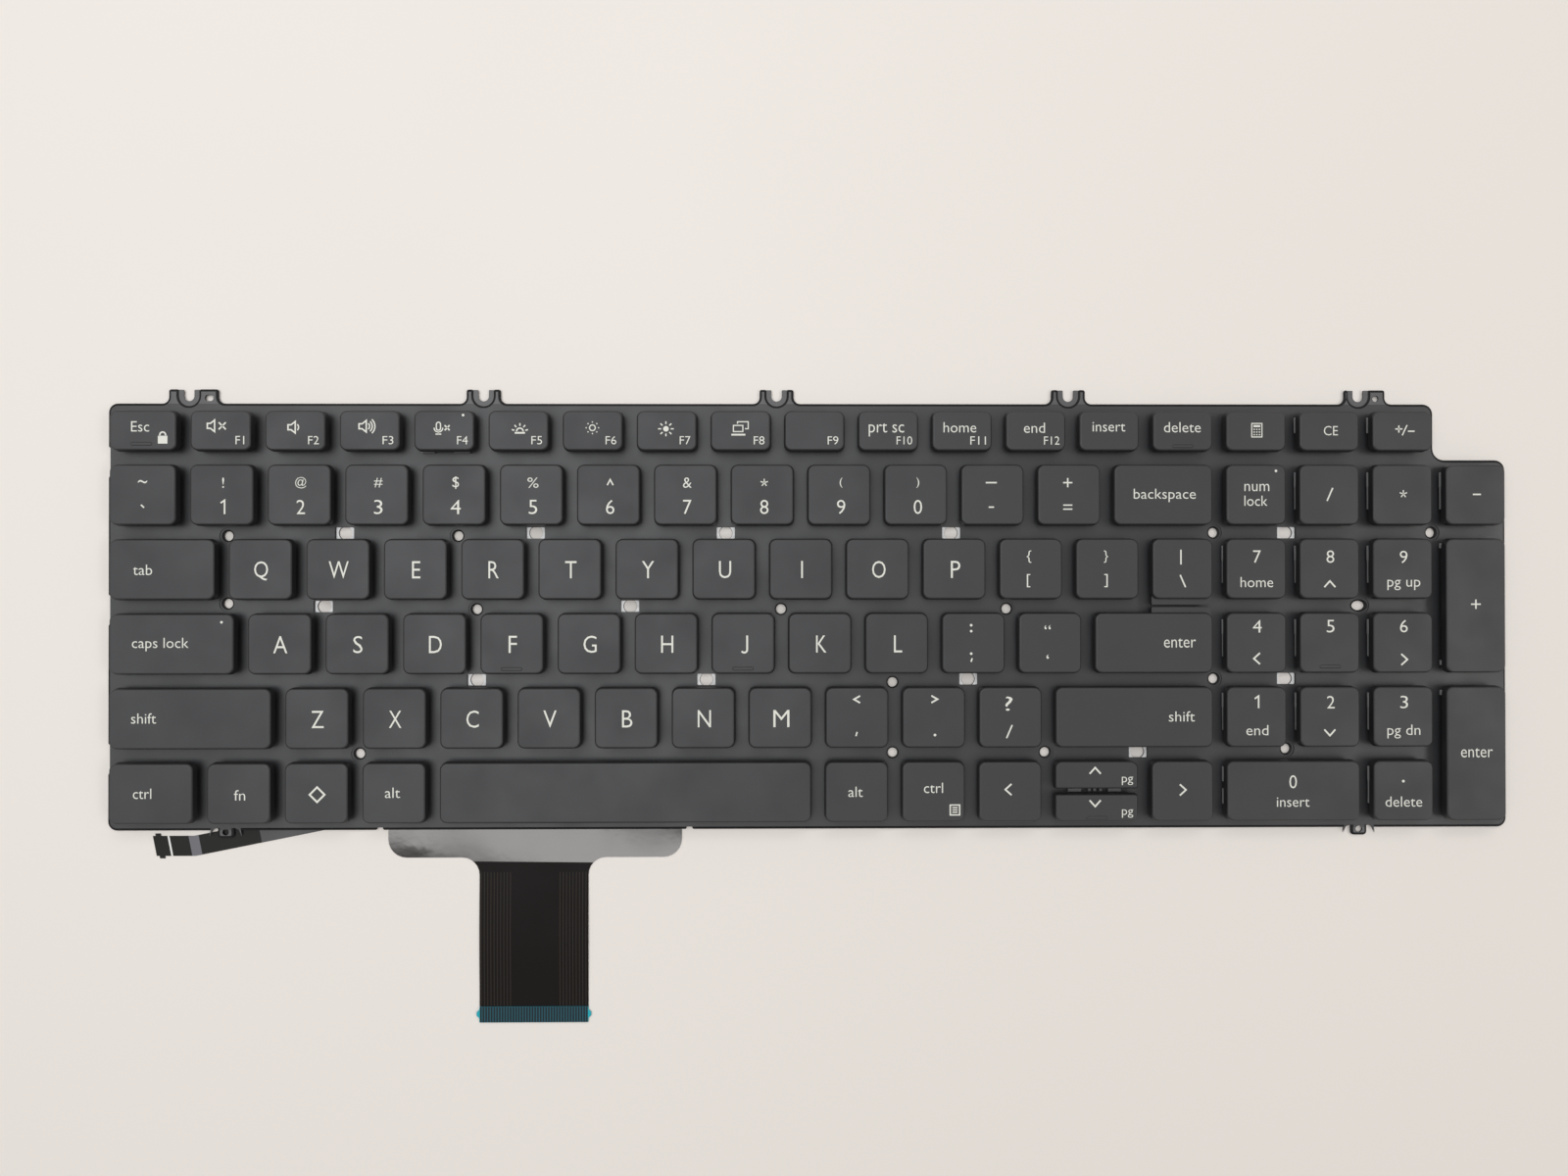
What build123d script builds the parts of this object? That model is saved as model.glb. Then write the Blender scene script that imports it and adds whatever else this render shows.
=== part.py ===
from build123d import *
from collections import namedtuple
from math import asin, cos, degrees, radians, sin, tan
import os

# A laptop replacement keyboard with a number pad: a stamped steel plate with a printed switch film on it,
# rubber domes, scissor links and low caps, a light guide under the plate, and two flat film tails.
# Sizes are in millimetres. X runs along the key rows, Y towards the function row, Z up through the caps.
# The origin is the middle of the plate's outline, on the surface that the keyboard lies on.

# Key layout, measured on the flat tops of the caps
PITCH_X = 18.7
PITCH_Y = 18.1
KEY_GAP = 3.5
FUNCTION_DEPTH = 9.6
ESC_WIDTH = 16.0
BACKQUOTE_WIDTH = 15.9
BACKSPACE_WIDTH = 24.0
TAB_WIDTH = 25.25
CAPS_LOCK_WIDTH = 29.9
SHIFT_WIDTH = 38.9
CTRL_WIDTH = 20.1
ARROW_WIDTH = 20.1
ARROW_GAP = 1.5
RIGHT_ARROW_WIDTH = 14.9
PAD_PITCH = 18.0

# Key caps and their travel
TRAVEL = 1.4
SKIRT_ROOM = 0.5
CAP_HEIGHT = 1.8
CAP_ROOF = 0.9
CAP_WALL = 0.8
CAP_CORNER = 0.8
CAP_DRAFT = 6.0
LEDGE_DEPTH = 1.5
LEDGE_HEIGHT = 0.8

# Rubber domes and scissor links
DOME_RADIUS = 2.7
DOME_SIDES = 4
DOME_DRAFT = 9.0
DOME_ROOM = 0.15
LINK_WIDTH = 12.2
LINK_LENGTH = 10.6
LINK_BAR = 0.9
LINK_THICKNESS = 0.7
LINK_ROOM = 0.25
LINK_PLAY = 0.05

# Sheets, from the bottom up
GUIDE_THICKNESS = 0.4
PLATE_THICKNESS = 0.4
FILM_THICKNESS = 0.2

# Steel plate
SIDE_MARGIN = 2.85
END_MARGIN = 2.45
STEP_MARGIN = 1.65
PLATE_CORNER_CUT = 1.0
STEP_OUTER_RADIUS = 2.4
STEP_INNER_RADIUS = 2.9
EAR_HEIGHT = 3.5
EAR_ROOT_CUT = 1.2
EAR_TIP_CUT = 0.5
EAR_FIRST = 19.65
EAR_PITCH = 72.3
EAR_REACHES = ((4.95, 7.2), (4.2, 4.2), (4.2, 4.2), (4.2, 4.2), (3.5, 6.7))
NOTCH_RADIUS = 1.28
NOTCH_DEPTH = 2.9
EAR_SLOT_OFFSET = 5.0
EAR_SLOT_SIZE = (2.05, 1.55)
EAR_HOLE_OFFSET = 4.3
EAR_HOLE_RADIUS = 0.75
EAR_HOLE_RISE = 1.35
FRONT_TAB_WIDTH = 4.0
FRONT_TAB_REACH = 1.9
FRONT_TAB_CUT = 0.9
FRONT_TAB_HOLE_RADIUS = 0.8
FRONT_TAB_HOLE_DROP = 0.4
FRONT_TABS = (28.85, 308.65)
RELIEF_LENGTH = 7.0
RELIEF_DEPTH = 0.6
LEFT_RELIEFS = (14.4, 50.8, 87.4)
RIGHT_RELIEFS = (50.0, 85.9)
FRONT_NICK_WIDTH = 1.4
FRONT_NICK_DEPTH = 0.7
FRONT_NICK_OFFSET = 1.9

# Holes in the gaps between the rows, first gap first, as distances from the plate's left edge;
# screw holes also give how far they lie to the rear of the gap's middle
SCREW_RADIUS = 1.2
SMALL_HOLE_SIDES = 8
SCREW_LINES = (
    ((29.35, -0.72), (85.75, -0.72), (272.6, 0.0), (326.9, 0.0)),
    ((29.3, 0.75), (90.35, -0.72), (165.25, -0.72), (221.1, -0.72)),
    ((192.85, -0.72), (272.55, 0.0)),
    ((61.65, 0.0), (192.85, 0.0), (230.55, 0.0), (290.5, 0.7)),
)
SCREW_SLOT = 308.75
SCREW_SLOT_SIZE = (3.6, 2.5)
WINDOW_SIZE = (4.5, 2.8)
WINDOW_LINES = (
    (57.95, 104.8, 151.65, 207.45, 290.75),
    (52.75, 128.05),
    (90.35, 146.85, 211.65, 290.6),
    (253.7,),
)

# Switch film and its tail
FILM_INSET = 0.6
FILM_HOLE_RADIUS = 2.0
WINDOW_CLEARANCE = 0.1
FLAP_LEFT = 68.45
FLAP_WIDTH = 72.3
FLAP_REACH = 6.95
FLAP_CORNER = 4.5
RIBBON_LEFT = 90.9
RIBBON_WIDTH = 26.8
RIBBON_ROOT_RADIUS = 4.3
TAIL_REACH = 47.55
TAIL_SLOT_INSET = 3.2
TAIL_CLEARANCE = 0.3
STIFFENER_LENGTH = 3.9
STIFFENER_EAR = 0.7
STIFFENER_EAR_LENGTH = 1.5
STIFFENER_EAR_REACH = 3.0

# Light guide and its flat lead
GUIDE_INSET = 1.2
GUIDE_HOLE_RADIUS = 1.8
GUIDE_SCREW_ROOM = 1.0
LEAD_THICKNESS = 0.15
LEAD_WIDTH = 4.9
LEAD_TURN = 11.2
LEAD_KNEE = (20.95, 3.9)
LEAD_RUN = 38.0
LEAD_HEAD_LENGTH = 9.8
LEAD_ROOM = 0.6

# Heights that follow from the sheets
PLATE_Z = GUIDE_THICKNESS
FILM_Z = PLATE_Z + PLATE_THICKNESS
FILM_TOP = FILM_Z + FILM_THICKNESS
CAP_BASE = FILM_TOP + TRAVEL + SKIRT_ROOM
CAP_CEILING = CAP_BASE + CAP_HEIGHT - CAP_ROOF

# Places that follow from the layout
KEY_WIDTH = PITCH_X - KEY_GAP
KEY_DEPTH = PITCH_Y - KEY_GAP
PAD_KEY_WIDTH = PAD_PITCH - KEY_GAP
MAIN_WIDTH = BACKQUOTE_WIDTH + KEY_GAP + 12 * PITCH_X + BACKSPACE_WIDTH
PLATE_WIDTH = MAIN_WIDTH + 4 * PAD_PITCH + 2 * SIDE_MARGIN
PLATE_DEPTH = FUNCTION_DEPTH + 5 * PITCH_Y + 2 * END_MARGIN
LEFT = -PLATE_WIDTH / 2
RIGHT = PLATE_WIDTH / 2
REAR = PLATE_DEPTH / 2
FRONT = -PLATE_DEPTH / 2
MAIN_LEFT = LEFT + SIDE_MARGIN
PAD_LEFT = MAIN_LEFT + MAIN_WIDTH + KEY_GAP
STEP_X = RIGHT - PAD_PITCH
STEP_Y = REAR - END_MARGIN - FUNCTION_DEPTH - KEY_GAP + STEP_MARGIN

Key = namedtuple("Key", "name x y width depth")


def row_rear(row):
    """Rear edge of a row of caps; row 0 is the number row."""
    return REAR - END_MARGIN - FUNCTION_DEPTH - KEY_GAP - row * PITCH_Y


def gap_line(row):
    """Middle of the gap in front of a row of caps."""
    return row_rear(row) - KEY_DEPTH - KEY_GAP / 2


def place_row(names, widths, left, rear, depth):
    """Caps side by side, one gap apart."""
    keys = []
    for name, width in zip(names, widths):
        keys.append(Key(name, left + width / 2, rear - depth / 2, width, depth))
        left += width + KEY_GAP
    return keys


def fill(widths, count):
    """Width that is left for the last cap of a row of the typing block."""
    return MAIN_WIDTH - sum(widths) - (count - 1) * KEY_GAP


def typing_row(row, names, widths):
    return place_row(names, widths, MAIN_LEFT, row_rear(row), KEY_DEPTH)


# Typing block, whose caps move
top_letters = ["key_tab", *(f"key_{c}" for c in "qwertyuiop"), "key_bracket_open", "key_bracket_close"]
top_widths = [TAB_WIDTH] + 12 * [KEY_WIDTH]
home_letters = ["key_caps_lock", *(f"key_{c}" for c in "asdfghjkl"), "key_semicolon", "key_apostrophe"]
home_widths = [CAPS_LOCK_WIDTH] + 11 * [KEY_WIDTH]
low_letters = ["key_shift_left", *(f"key_{c}" for c in "zxcvbnm"), "key_comma", "key_period", "key_slash"]
low_widths = [SHIFT_WIDTH] + 10 * [KEY_WIDTH]
left_names = ["key_ctrl_left", "key_fn", "key_system", "key_alt_left"]
left_widths = [CTRL_WIDTH] + 3 * [KEY_WIDTH]
right_names = ["key_alt_right", "key_ctrl_right", "key_arrow_left", "arrow_pair", "key_arrow_right"]
right_widths = 3 * [KEY_WIDTH] + [ARROW_WIDTH, RIGHT_ARROW_WIDTH]
space_width = fill(left_widths + right_widths, 10)
front_names = left_names + ["key_space"] + right_names
front_row = typing_row(4, front_names, left_widths + [space_width] + right_widths)

typing_keys = typing_row(1, top_letters + ["key_backslash"], top_widths + [fill(top_widths, 14)])
typing_keys += typing_row(2, home_letters + ["key_enter"], home_widths + [fill(home_widths, 13)])
typing_keys += typing_row(3, low_letters + ["key_shift_right"], low_widths + [fill(low_widths, 12)])
arrow_depth = (KEY_DEPTH - ARROW_GAP) / 2
for key in front_row:
    if key.name == "arrow_pair":
        offset = (arrow_depth + ARROW_GAP) / 2
        typing_keys.append(Key("key_arrow_up", key.x, key.y + offset, key.width, arrow_depth))
        typing_keys.append(Key("key_arrow_down", key.x, key.y - offset, key.width, arrow_depth))
    else:
        typing_keys.append(key)

# Function and number rows, whose caps stand still
function_width = fill([ESC_WIDTH], 15) / 14
function_widths = [ESC_WIDTH] + 14 * [function_width] + 3 * [PAD_KEY_WIDTH]
upper_keys = place_row(range(18), function_widths, MAIN_LEFT, REAR - END_MARGIN, FUNCTION_DEPTH)
upper_keys += typing_row(0, range(14), [BACKQUOTE_WIDTH] + 12 * [KEY_WIDTH] + [BACKSPACE_WIDTH])

# Number pad, whose caps stand still: plus and enter are two rows deep, zero is two columns wide
pad_keys = place_row(range(4), 4 * [PAD_KEY_WIDTH], PAD_LEFT, row_rear(0), KEY_DEPTH)
for row in (1, 2, 3):
    pad_keys += place_row(range(3), 3 * [PAD_KEY_WIDTH], PAD_LEFT, row_rear(row), KEY_DEPTH)
pad_keys += place_row(range(2), [PAD_PITCH + PAD_KEY_WIDTH, PAD_KEY_WIDTH], PAD_LEFT, row_rear(4), KEY_DEPTH)
for row in (1, 3):
    tall_depth = PITCH_Y + KEY_DEPTH
    pad_keys += place_row(range(1), [PAD_KEY_WIDTH], PAD_LEFT + 3 * PAD_PITCH, row_rear(row), tall_depth)

# Places of the holes
screw_points = [(LEFT + x, gap_line(row) + y) for row, line in enumerate(SCREW_LINES) for x, y in line]
mount_screws = [screw_points[n] for n in (2, 3, 10, 12)]
slot_point = (LEFT + SCREW_SLOT, gap_line(1))
window_points = [(LEFT + x, gap_line(row)) for row, line in enumerate(WINDOW_LINES) for x in line]
ear_points = [LEFT + EAR_FIRST + n * EAR_PITCH for n in range(len(EAR_REACHES))]
flap_middle = LEFT + FLAP_LEFT + FLAP_WIDTH / 2
ribbon_middle = LEFT + RIBBON_LEFT + RIBBON_WIDTH / 2
tail_slot_y = FRONT + TAIL_SLOT_INSET
lead_knee = (LEFT + LEAD_KNEE[0], FRONT - LEAD_KNEE[1])


def on_line(vertices, y):
    """Corners of an outline that lie on one line across it, from left to right."""
    return vertices.filter_by_position(Axis.Y, y - 0.001, y + 0.001).sort_by(Axis.X)


def stepped_outline(inset):
    """Plate outline without ears in the open sketch: a rectangle, stepped at its rear right corner."""
    Rectangle(PLATE_WIDTH - 2 * inset, PLATE_DEPTH - 2 * inset)
    with Locations((RIGHT - inset, REAR - inset)):
        Rectangle(RIGHT - STEP_X, REAR - STEP_Y, align=(Align.MAX, Align.MAX), mode=Mode.SUBTRACT)


os.makedirs("parts", exist_ok=True)

# Support plate: stamped steel with five notched ears behind, two tabs in front and holes between the rows
with BuildPart() as support_plate:
    with BuildSketch(Plane.XY.offset(PLATE_Z)) as sheet:
        stepped_outline(0)
        for x, (reach_left, reach_right) in zip(ear_points, EAR_REACHES):
            with Locations((x - reach_left, REAR)):
                Rectangle(reach_left + reach_right, EAR_HEIGHT, align=(Align.MIN, Align.MIN))
        rear_corners = on_line(sheet.vertices(), REAR)
        chamfer(rear_corners[1:-1], EAR_ROOT_CUT)
        fillet(on_line(sheet.vertices(), REAR)[-1], STEP_OUTER_RADIUS)
        chamfer(on_line(sheet.vertices(), REAR)[0], PLATE_CORNER_CUT)
        chamfer(on_line(sheet.vertices(), REAR + EAR_HEIGHT), EAR_TIP_CUT)
        fillet(on_line(sheet.vertices(), STEP_Y)[0], STEP_INNER_RADIUS)
        fillet(on_line(sheet.vertices(), STEP_Y)[-1], STEP_OUTER_RADIUS)
        chamfer(on_line(sheet.vertices(), FRONT), PLATE_CORNER_CUT)
        with Locations(*((LEFT + x, FRONT) for x in FRONT_TABS)):
            Rectangle(FRONT_TAB_WIDTH, FRONT_TAB_REACH, align=(Align.CENTER, Align.MAX))
        chamfer(on_line(sheet.vertices(), FRONT - FRONT_TAB_REACH), FRONT_TAB_CUT)
        with Locations(*((x, REAR + EAR_HEIGHT) for x in ear_points)):
            SlotOverall(2 * NOTCH_DEPTH, 2 * NOTCH_RADIUS, rotation=90, mode=Mode.SUBTRACT)
        with Locations((ear_points[0] + EAR_SLOT_OFFSET, REAR + EAR_HOLE_RISE)):
            Rectangle(*EAR_SLOT_SIZE, mode=Mode.SUBTRACT)
        with Locations((ear_points[-1] + EAR_HOLE_OFFSET, REAR + EAR_HOLE_RISE)):
            RegularPolygon(EAR_HOLE_RADIUS, SMALL_HOLE_SIDES, mode=Mode.SUBTRACT)
        with Locations(*((LEFT + x, FRONT - FRONT_TAB_HOLE_DROP) for x in FRONT_TABS)):
            RegularPolygon(FRONT_TAB_HOLE_RADIUS, SMALL_HOLE_SIDES, mode=Mode.SUBTRACT)
        left_reliefs = [(LEFT, REAR - y) for y in LEFT_RELIEFS]
        with Locations(*left_reliefs, *((RIGHT, REAR - y) for y in RIGHT_RELIEFS)):
            Rectangle(2 * RELIEF_DEPTH, RELIEF_LENGTH, mode=Mode.SUBTRACT)
        nick_reach = FLAP_WIDTH / 2 + FRONT_NICK_OFFSET
        with Locations((flap_middle - nick_reach, FRONT), (flap_middle + nick_reach, FRONT)):
            Rectangle(FRONT_NICK_WIDTH, 2 * FRONT_NICK_DEPTH, mode=Mode.SUBTRACT)
        with Locations(*mount_screws):
            Circle(SCREW_RADIUS, mode=Mode.SUBTRACT)
        with Locations(*(point for point in screw_points if point not in mount_screws)):
            RegularPolygon(SCREW_RADIUS, SMALL_HOLE_SIDES, mode=Mode.SUBTRACT)
        with Locations(slot_point):
            Rectangle(*SCREW_SLOT_SIZE, mode=Mode.SUBTRACT)
        with Locations(*window_points):
            Rectangle(*WINDOW_SIZE, mode=Mode.SUBTRACT)
        with Locations((flap_middle, tail_slot_y)):
            slot_depth = FILM_THICKNESS + 2 * TAIL_CLEARANCE
            Rectangle(FLAP_WIDTH + 2 * TAIL_CLEARANCE, slot_depth, mode=Mode.SUBTRACT)
    extrude(amount=PLATE_THICKNESS)
support_plate.part.label = "support_plate"
export_step(support_plate.part, "parts/support_plate.step")

# Switch film: printed film on the plate, with its tail dropping through a slot and out under the front edge
with BuildPart() as membrane:
    with BuildSketch(Plane.XY.offset(FILM_Z)):
        stepped_outline(FILM_INSET)
        with Locations(*screw_points, slot_point):
            RegularPolygon(FILM_HOLE_RADIUS, SMALL_HOLE_SIDES, mode=Mode.SUBTRACT)
        with Locations(*window_points):
            window_width, window_depth = (size + 2 * WINDOW_CLEARANCE for size in WINDOW_SIZE)
            Rectangle(window_width, window_depth, mode=Mode.SUBTRACT)
    extrude(amount=FILM_THICKNESS)
    with BuildSketch(Plane.XY):
        with Locations((flap_middle, tail_slot_y)):
            Rectangle(FLAP_WIDTH, FILM_THICKNESS)
    extrude(amount=FILM_TOP)
    with BuildSketch(Plane.XY) as tail:
        flap_end = FRONT - FLAP_REACH
        with Locations((flap_middle, flap_end)):
            Rectangle(FLAP_WIDTH, tail_slot_y - flap_end, align=(Align.CENTER, Align.MIN))
        with Locations((ribbon_middle, flap_end)):
            Rectangle(RIBBON_WIDTH, TAIL_REACH - FLAP_REACH, align=(Align.CENTER, Align.MAX))
        flap_corners = on_line(tail.vertices(), flap_end)
        fillet(flap_corners[1:-1], RIBBON_ROOT_RADIUS)
        flap_corners = on_line(tail.vertices(), flap_end)
        fillet((flap_corners[0], flap_corners[-1]), FLAP_CORNER)
    extrude(amount=FILM_THICKNESS)
membrane.part.label = "membrane"
export_step(membrane.part, "parts/membrane.step")

# Tail stiffener: blue film on the contact end of the tail, with a small ear on each side
with BuildPart() as tail_stiffener:
    with BuildSketch(Plane.XY.offset(FILM_THICKNESS)):
        with Locations((ribbon_middle, FRONT - TAIL_REACH)):
            Rectangle(RIBBON_WIDTH, STIFFENER_LENGTH, align=(Align.CENTER, Align.MIN))
        with Locations((ribbon_middle, FRONT - TAIL_REACH + STIFFENER_EAR_REACH)):
            ear_span = RIBBON_WIDTH + 2 * STIFFENER_EAR
            Rectangle(ear_span, STIFFENER_EAR_LENGTH, align=(Align.CENTER, Align.MAX))
    extrude(amount=FILM_THICKNESS)
tail_stiffener.part.label = "tail_stiffener"
export_step(tail_stiffener.part, "parts/tail_stiffener.step")

# Light guide: clear sheet under the plate, cut back round the tail, the lead and the screws
with BuildPart() as backlight_guide:
    with BuildSketch(Plane.XY):
        stepped_outline(GUIDE_INSET)
        with Locations((flap_middle, FRONT)):
            tail_room = 2 * (TAIL_SLOT_INSET + FILM_THICKNESS + TAIL_CLEARANCE)
            Rectangle(FLAP_WIDTH + 2 * LEAD_ROOM, tail_room, mode=Mode.SUBTRACT)
        with Locations(lead_knee):
            lead_room = LEAD_WIDTH + 2 * LEAD_ROOM
            along = (Align.MIN, Align.CENTER)
            Rectangle(LEAD_RUN + LEAD_ROOM, lead_room, LEAD_TURN, align=along, mode=Mode.SUBTRACT)
        with Locations(*screw_points, slot_point):
            screw_room = 2 * (SCREW_RADIUS + GUIDE_SCREW_ROOM)
            Rectangle(screw_room, screw_room, mode=Mode.SUBTRACT)
        with Locations(*window_points):
            RegularPolygon(GUIDE_HOLE_RADIUS, SMALL_HOLE_SIDES, mode=Mode.SUBTRACT)
    extrude(amount=GUIDE_THICKNESS)
backlight_guide.part.label = "backlight_guide"
export_step(backlight_guide.part, "parts/backlight_guide.step")

# Light guide's lead: flat strip from under the plate's front left, turned at its knee to a contact head
with BuildPart() as backlight_lead:
    with BuildSketch(Plane.XY):
        with Locations(lead_knee):
            Rectangle(LEAD_RUN, LEAD_WIDTH, LEAD_TURN, align=(Align.MIN, Align.CENTER))
            Circle(LEAD_WIDTH / 2)
            Rectangle(LEAD_HEAD_LENGTH, LEAD_WIDTH, align=(Align.MAX, Align.CENTER))
    extrude(amount=LEAD_THICKNESS)
backlight_lead.part.label = "backlight_lead"
export_step(backlight_lead.part, "parts/backlight_lead.step")


def link_length(key):
    """Length of a key's links, as much as its cap's hollow takes."""
    return min(LINK_LENGTH, key.depth - 2 * (CAP_WALL + LINK_ROOM))


def link_tilt(key):
    """Slope of a key's links from the switch film up to the cap's ceiling, in degrees."""
    rise = CAP_CEILING - FILM_TOP - 2 * LINK_PLAY - LINK_THICKNESS
    return degrees(asin(rise / link_length(key)))


def link_plane(key, direction):
    """Underside of a tilted link; direction 1 rises to the rear, -1 to the front."""
    tilt = radians(link_tilt(key))
    height = FILM_TOP + LINK_PLAY + link_length(key) / 2 * sin(tilt)
    return Plane((key.x, key.y, height), x_dir=(1, 0, 0), z_dir=(0, -direction * sin(tilt), cos(tilt)))


def dome_radius(key):
    """Foot of a key's dome, clear of the end bars of its links."""
    half_opening = link_length(key) / 2 * cos(radians(link_tilt(key))) - LINK_BAR
    return min(DOME_RADIUS, half_opening - DOME_ROOM)


# Rubber domes: one under each cap, up to the ceiling of a moving cap or the base of a standing one
with BuildPart() as rubber_domes:
    for keys, top in ((typing_keys, CAP_CEILING), (upper_keys + pad_keys, CAP_BASE)):
        with BuildSketch(Plane.XY.offset(FILM_TOP)):
            for key in keys:
                with Locations((key.x, key.y)):
                    RegularPolygon(dome_radius(key), DOME_SIDES, rotation=180 / DOME_SIDES)
        extrude(amount=top - FILM_TOP, taper=DOME_DRAFT)
rubber_domes.part.label = "rubber_domes"
export_step(rubber_domes.part, "parts/rubber_domes.step")


def link_outline(key, width, direction):
    """A link in the open sketch: two arms, joined by a bar at their lower end."""
    length = link_length(key)
    Rectangle(width, length)
    with Locations((0, direction * LINK_BAR)):
        Rectangle(width - 2 * LINK_BAR, length, mode=Mode.SUBTRACT)


# Scissor links: an outer and an inner frame under each moving cap, crossing at the middle of their arms
with BuildPart() as outer_links:
    for key in typing_keys:
        with BuildSketch(link_plane(key, 1)):
            link_outline(key, LINK_WIDTH, 1)
        extrude(amount=LINK_THICKNESS)
outer_links.part.label = "outer_links"
export_step(outer_links.part, "parts/outer_links.step")

with BuildPart() as inner_links:
    for key in typing_keys:
        with BuildSketch(link_plane(key, -1)):
            link_outline(key, LINK_WIDTH - 2 * (LINK_BAR + LINK_ROOM), -1)
        extrude(amount=LINK_THICKNESS)
inner_links.part.label = "inner_links"
export_step(inner_links.part, "parts/inner_links.step")

skirt = 2 * CAP_HEIGHT * tan(radians(CAP_DRAFT))


def cap_outline(keys):
    """Feet of the caps in the open sketch, with their corners cut."""
    for key in keys:
        with Locations((key.x, key.y)):
            Rectangle(key.width + skirt, key.depth + skirt)


# Moving caps: drafted shells, open underneath; two of them have a low ledge into the gap between them
ledge_key = next(key for key in typing_keys if key.name == "key_backslash")
ledge_sides = {"key_backslash": Align.MAX, "key_enter": Align.MIN}
for key in typing_keys:
    with BuildPart() as key_cap:
        with BuildSketch(Plane.XY.offset(CAP_BASE)) as foot:
            cap_outline([key])
            chamfer(foot.vertices(), CAP_CORNER)
        extrude(amount=CAP_HEIGHT, taper=CAP_DRAFT)
        with BuildSketch(Plane.XY.offset(CAP_BASE)):
            with Locations((key.x, key.y)):
                Rectangle(key.width - 2 * CAP_WALL, key.depth - 2 * CAP_WALL)
        extrude(amount=CAP_HEIGHT - CAP_ROOF, mode=Mode.SUBTRACT)
        if key.name in ledge_sides:
            side = ledge_sides[key.name]
            edge = key.y + (key.depth / 2 if side == Align.MIN else -key.depth / 2)
            with BuildSketch(Plane.XY.offset(CAP_BASE)):
                with Locations((ledge_key.x, edge)):
                    Rectangle(ledge_key.width, LEDGE_DEPTH, align=(Align.CENTER, side))
            extrude(amount=LEDGE_HEIGHT)
    key_cap.part.label = key.name
    export_step(key_cap.part, f"parts/{key.name}.step")

# Standing caps, solid underneath
for name, keys in (("upper_row_keys", upper_keys), ("numeric_pad_keys", pad_keys)):
    with BuildPart() as cap_block:
        with BuildSketch(Plane.XY.offset(CAP_BASE)) as feet:
            cap_outline(keys)
            chamfer(feet.vertices(), CAP_CORNER)
        extrude(amount=CAP_HEIGHT, taper=CAP_DRAFT)
    cap_block.part.label = name
    export_step(cap_block.part, f"parts/{name}.step")
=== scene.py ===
from collections import namedtuple
from math import asin, cos, pi, radians, sin, tan

import bmesh
import bpy
from mathutils import Matrix, Vector


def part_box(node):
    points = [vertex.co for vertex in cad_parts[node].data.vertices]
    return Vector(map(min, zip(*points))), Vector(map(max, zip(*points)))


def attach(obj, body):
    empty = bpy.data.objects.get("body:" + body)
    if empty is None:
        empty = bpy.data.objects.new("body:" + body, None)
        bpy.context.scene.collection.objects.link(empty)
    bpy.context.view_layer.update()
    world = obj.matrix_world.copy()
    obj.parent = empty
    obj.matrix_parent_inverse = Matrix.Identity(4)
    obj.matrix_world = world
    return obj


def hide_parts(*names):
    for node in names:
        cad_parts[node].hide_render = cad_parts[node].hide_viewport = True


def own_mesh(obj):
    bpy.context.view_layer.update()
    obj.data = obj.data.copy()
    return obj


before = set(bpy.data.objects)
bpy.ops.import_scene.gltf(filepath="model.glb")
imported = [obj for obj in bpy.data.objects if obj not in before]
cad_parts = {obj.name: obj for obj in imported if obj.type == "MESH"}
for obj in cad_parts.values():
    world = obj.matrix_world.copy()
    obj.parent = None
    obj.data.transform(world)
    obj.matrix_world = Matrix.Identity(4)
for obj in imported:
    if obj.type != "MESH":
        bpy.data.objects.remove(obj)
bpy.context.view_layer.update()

# Light guide: a clear plastic sheet under the plate that spreads light from a lamp strip to the keys.
# It is die cut from sheet stock, printed with small dots that let the light out, and taped to the plate.
# Shapes are drawn in millimetres and brought to metres when a piece is finished.
MM = 0.001
ARC_STEPS = 6
HOLE_STEPS = 32
GUIDE_INSET = 1.2
GUIDE_HOLE_RADIUS, GUIDE_HOLE_TAPER = 1.7, 0.93
GUIDE_SCREW_ROOM = 2.2
GUIDE_ROOM, GUIDE_TAIL_ROOM = 0.6, 0.5
GUIDE_CORNER, GUIDE_INNER_CORNER, GUIDE_SCREW_CORNER = 0.3, 0.5, 0.8
STEP_WIDTH, STEP_DEPTH = 18.0, 13.9
STEP_OUTER_RADIUS, STEP_INNER_RADIUS = 2.4, 2.9
PLATE_CORNER = 2.2
PITCH_Y = 18.1
FIRST_GAP_Y = -31.9
SCREW_LINES = (
    ((29.35, -0.72), (85.75, -0.72), (272.6, 0.0), (326.9, 0.0)),
    ((29.3, 0.75), (90.35, -0.72), (165.25, -0.72), (221.1, -0.72)),
    ((192.85, -0.72), (272.55, 0.0)),
    ((61.65, 0.0), (192.85, 0.0), (230.55, 0.0), (290.5, 0.7)),
)
WINDOW_LINES = (
    (57.95, 104.8, 151.65, 207.45, 290.75),
    (52.75, 128.05),
    (90.35, 146.85, 211.65, 290.6),
    (253.7,),
)
SCREW_SLOT = 308.75
FLAP_LEFT, FLAP_WIDTH = 68.45, 72.3
TAIL_SLOT_INSET = 3.2
LEAD_KNEE = (20.95, 3.9)
LEAD_WIDTH, LEAD_TURN, LEAD_RUN = 4.9, radians(11.2), 38.0


def node_box(node):
    """Lowest and highest corner of a CAD node, in millimetres."""
    return [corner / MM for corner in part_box(node)]


guide_low, guide_high = node_box("backlight_guide")
LEFT, FRONT = guide_low.x - GUIDE_INSET, guide_low.y - GUIDE_INSET
RIGHT, REAR = guide_high.x + GUIDE_INSET, guide_high.y + GUIDE_INSET
STEP_X, STEP_Y = RIGHT - STEP_WIDTH, REAR - STEP_DEPTH


def gap_line(row):
    """Middle of the gap in front of a row of caps; row 0 is the number row."""
    return REAR + FIRST_GAP_Y - row * PITCH_Y


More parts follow.
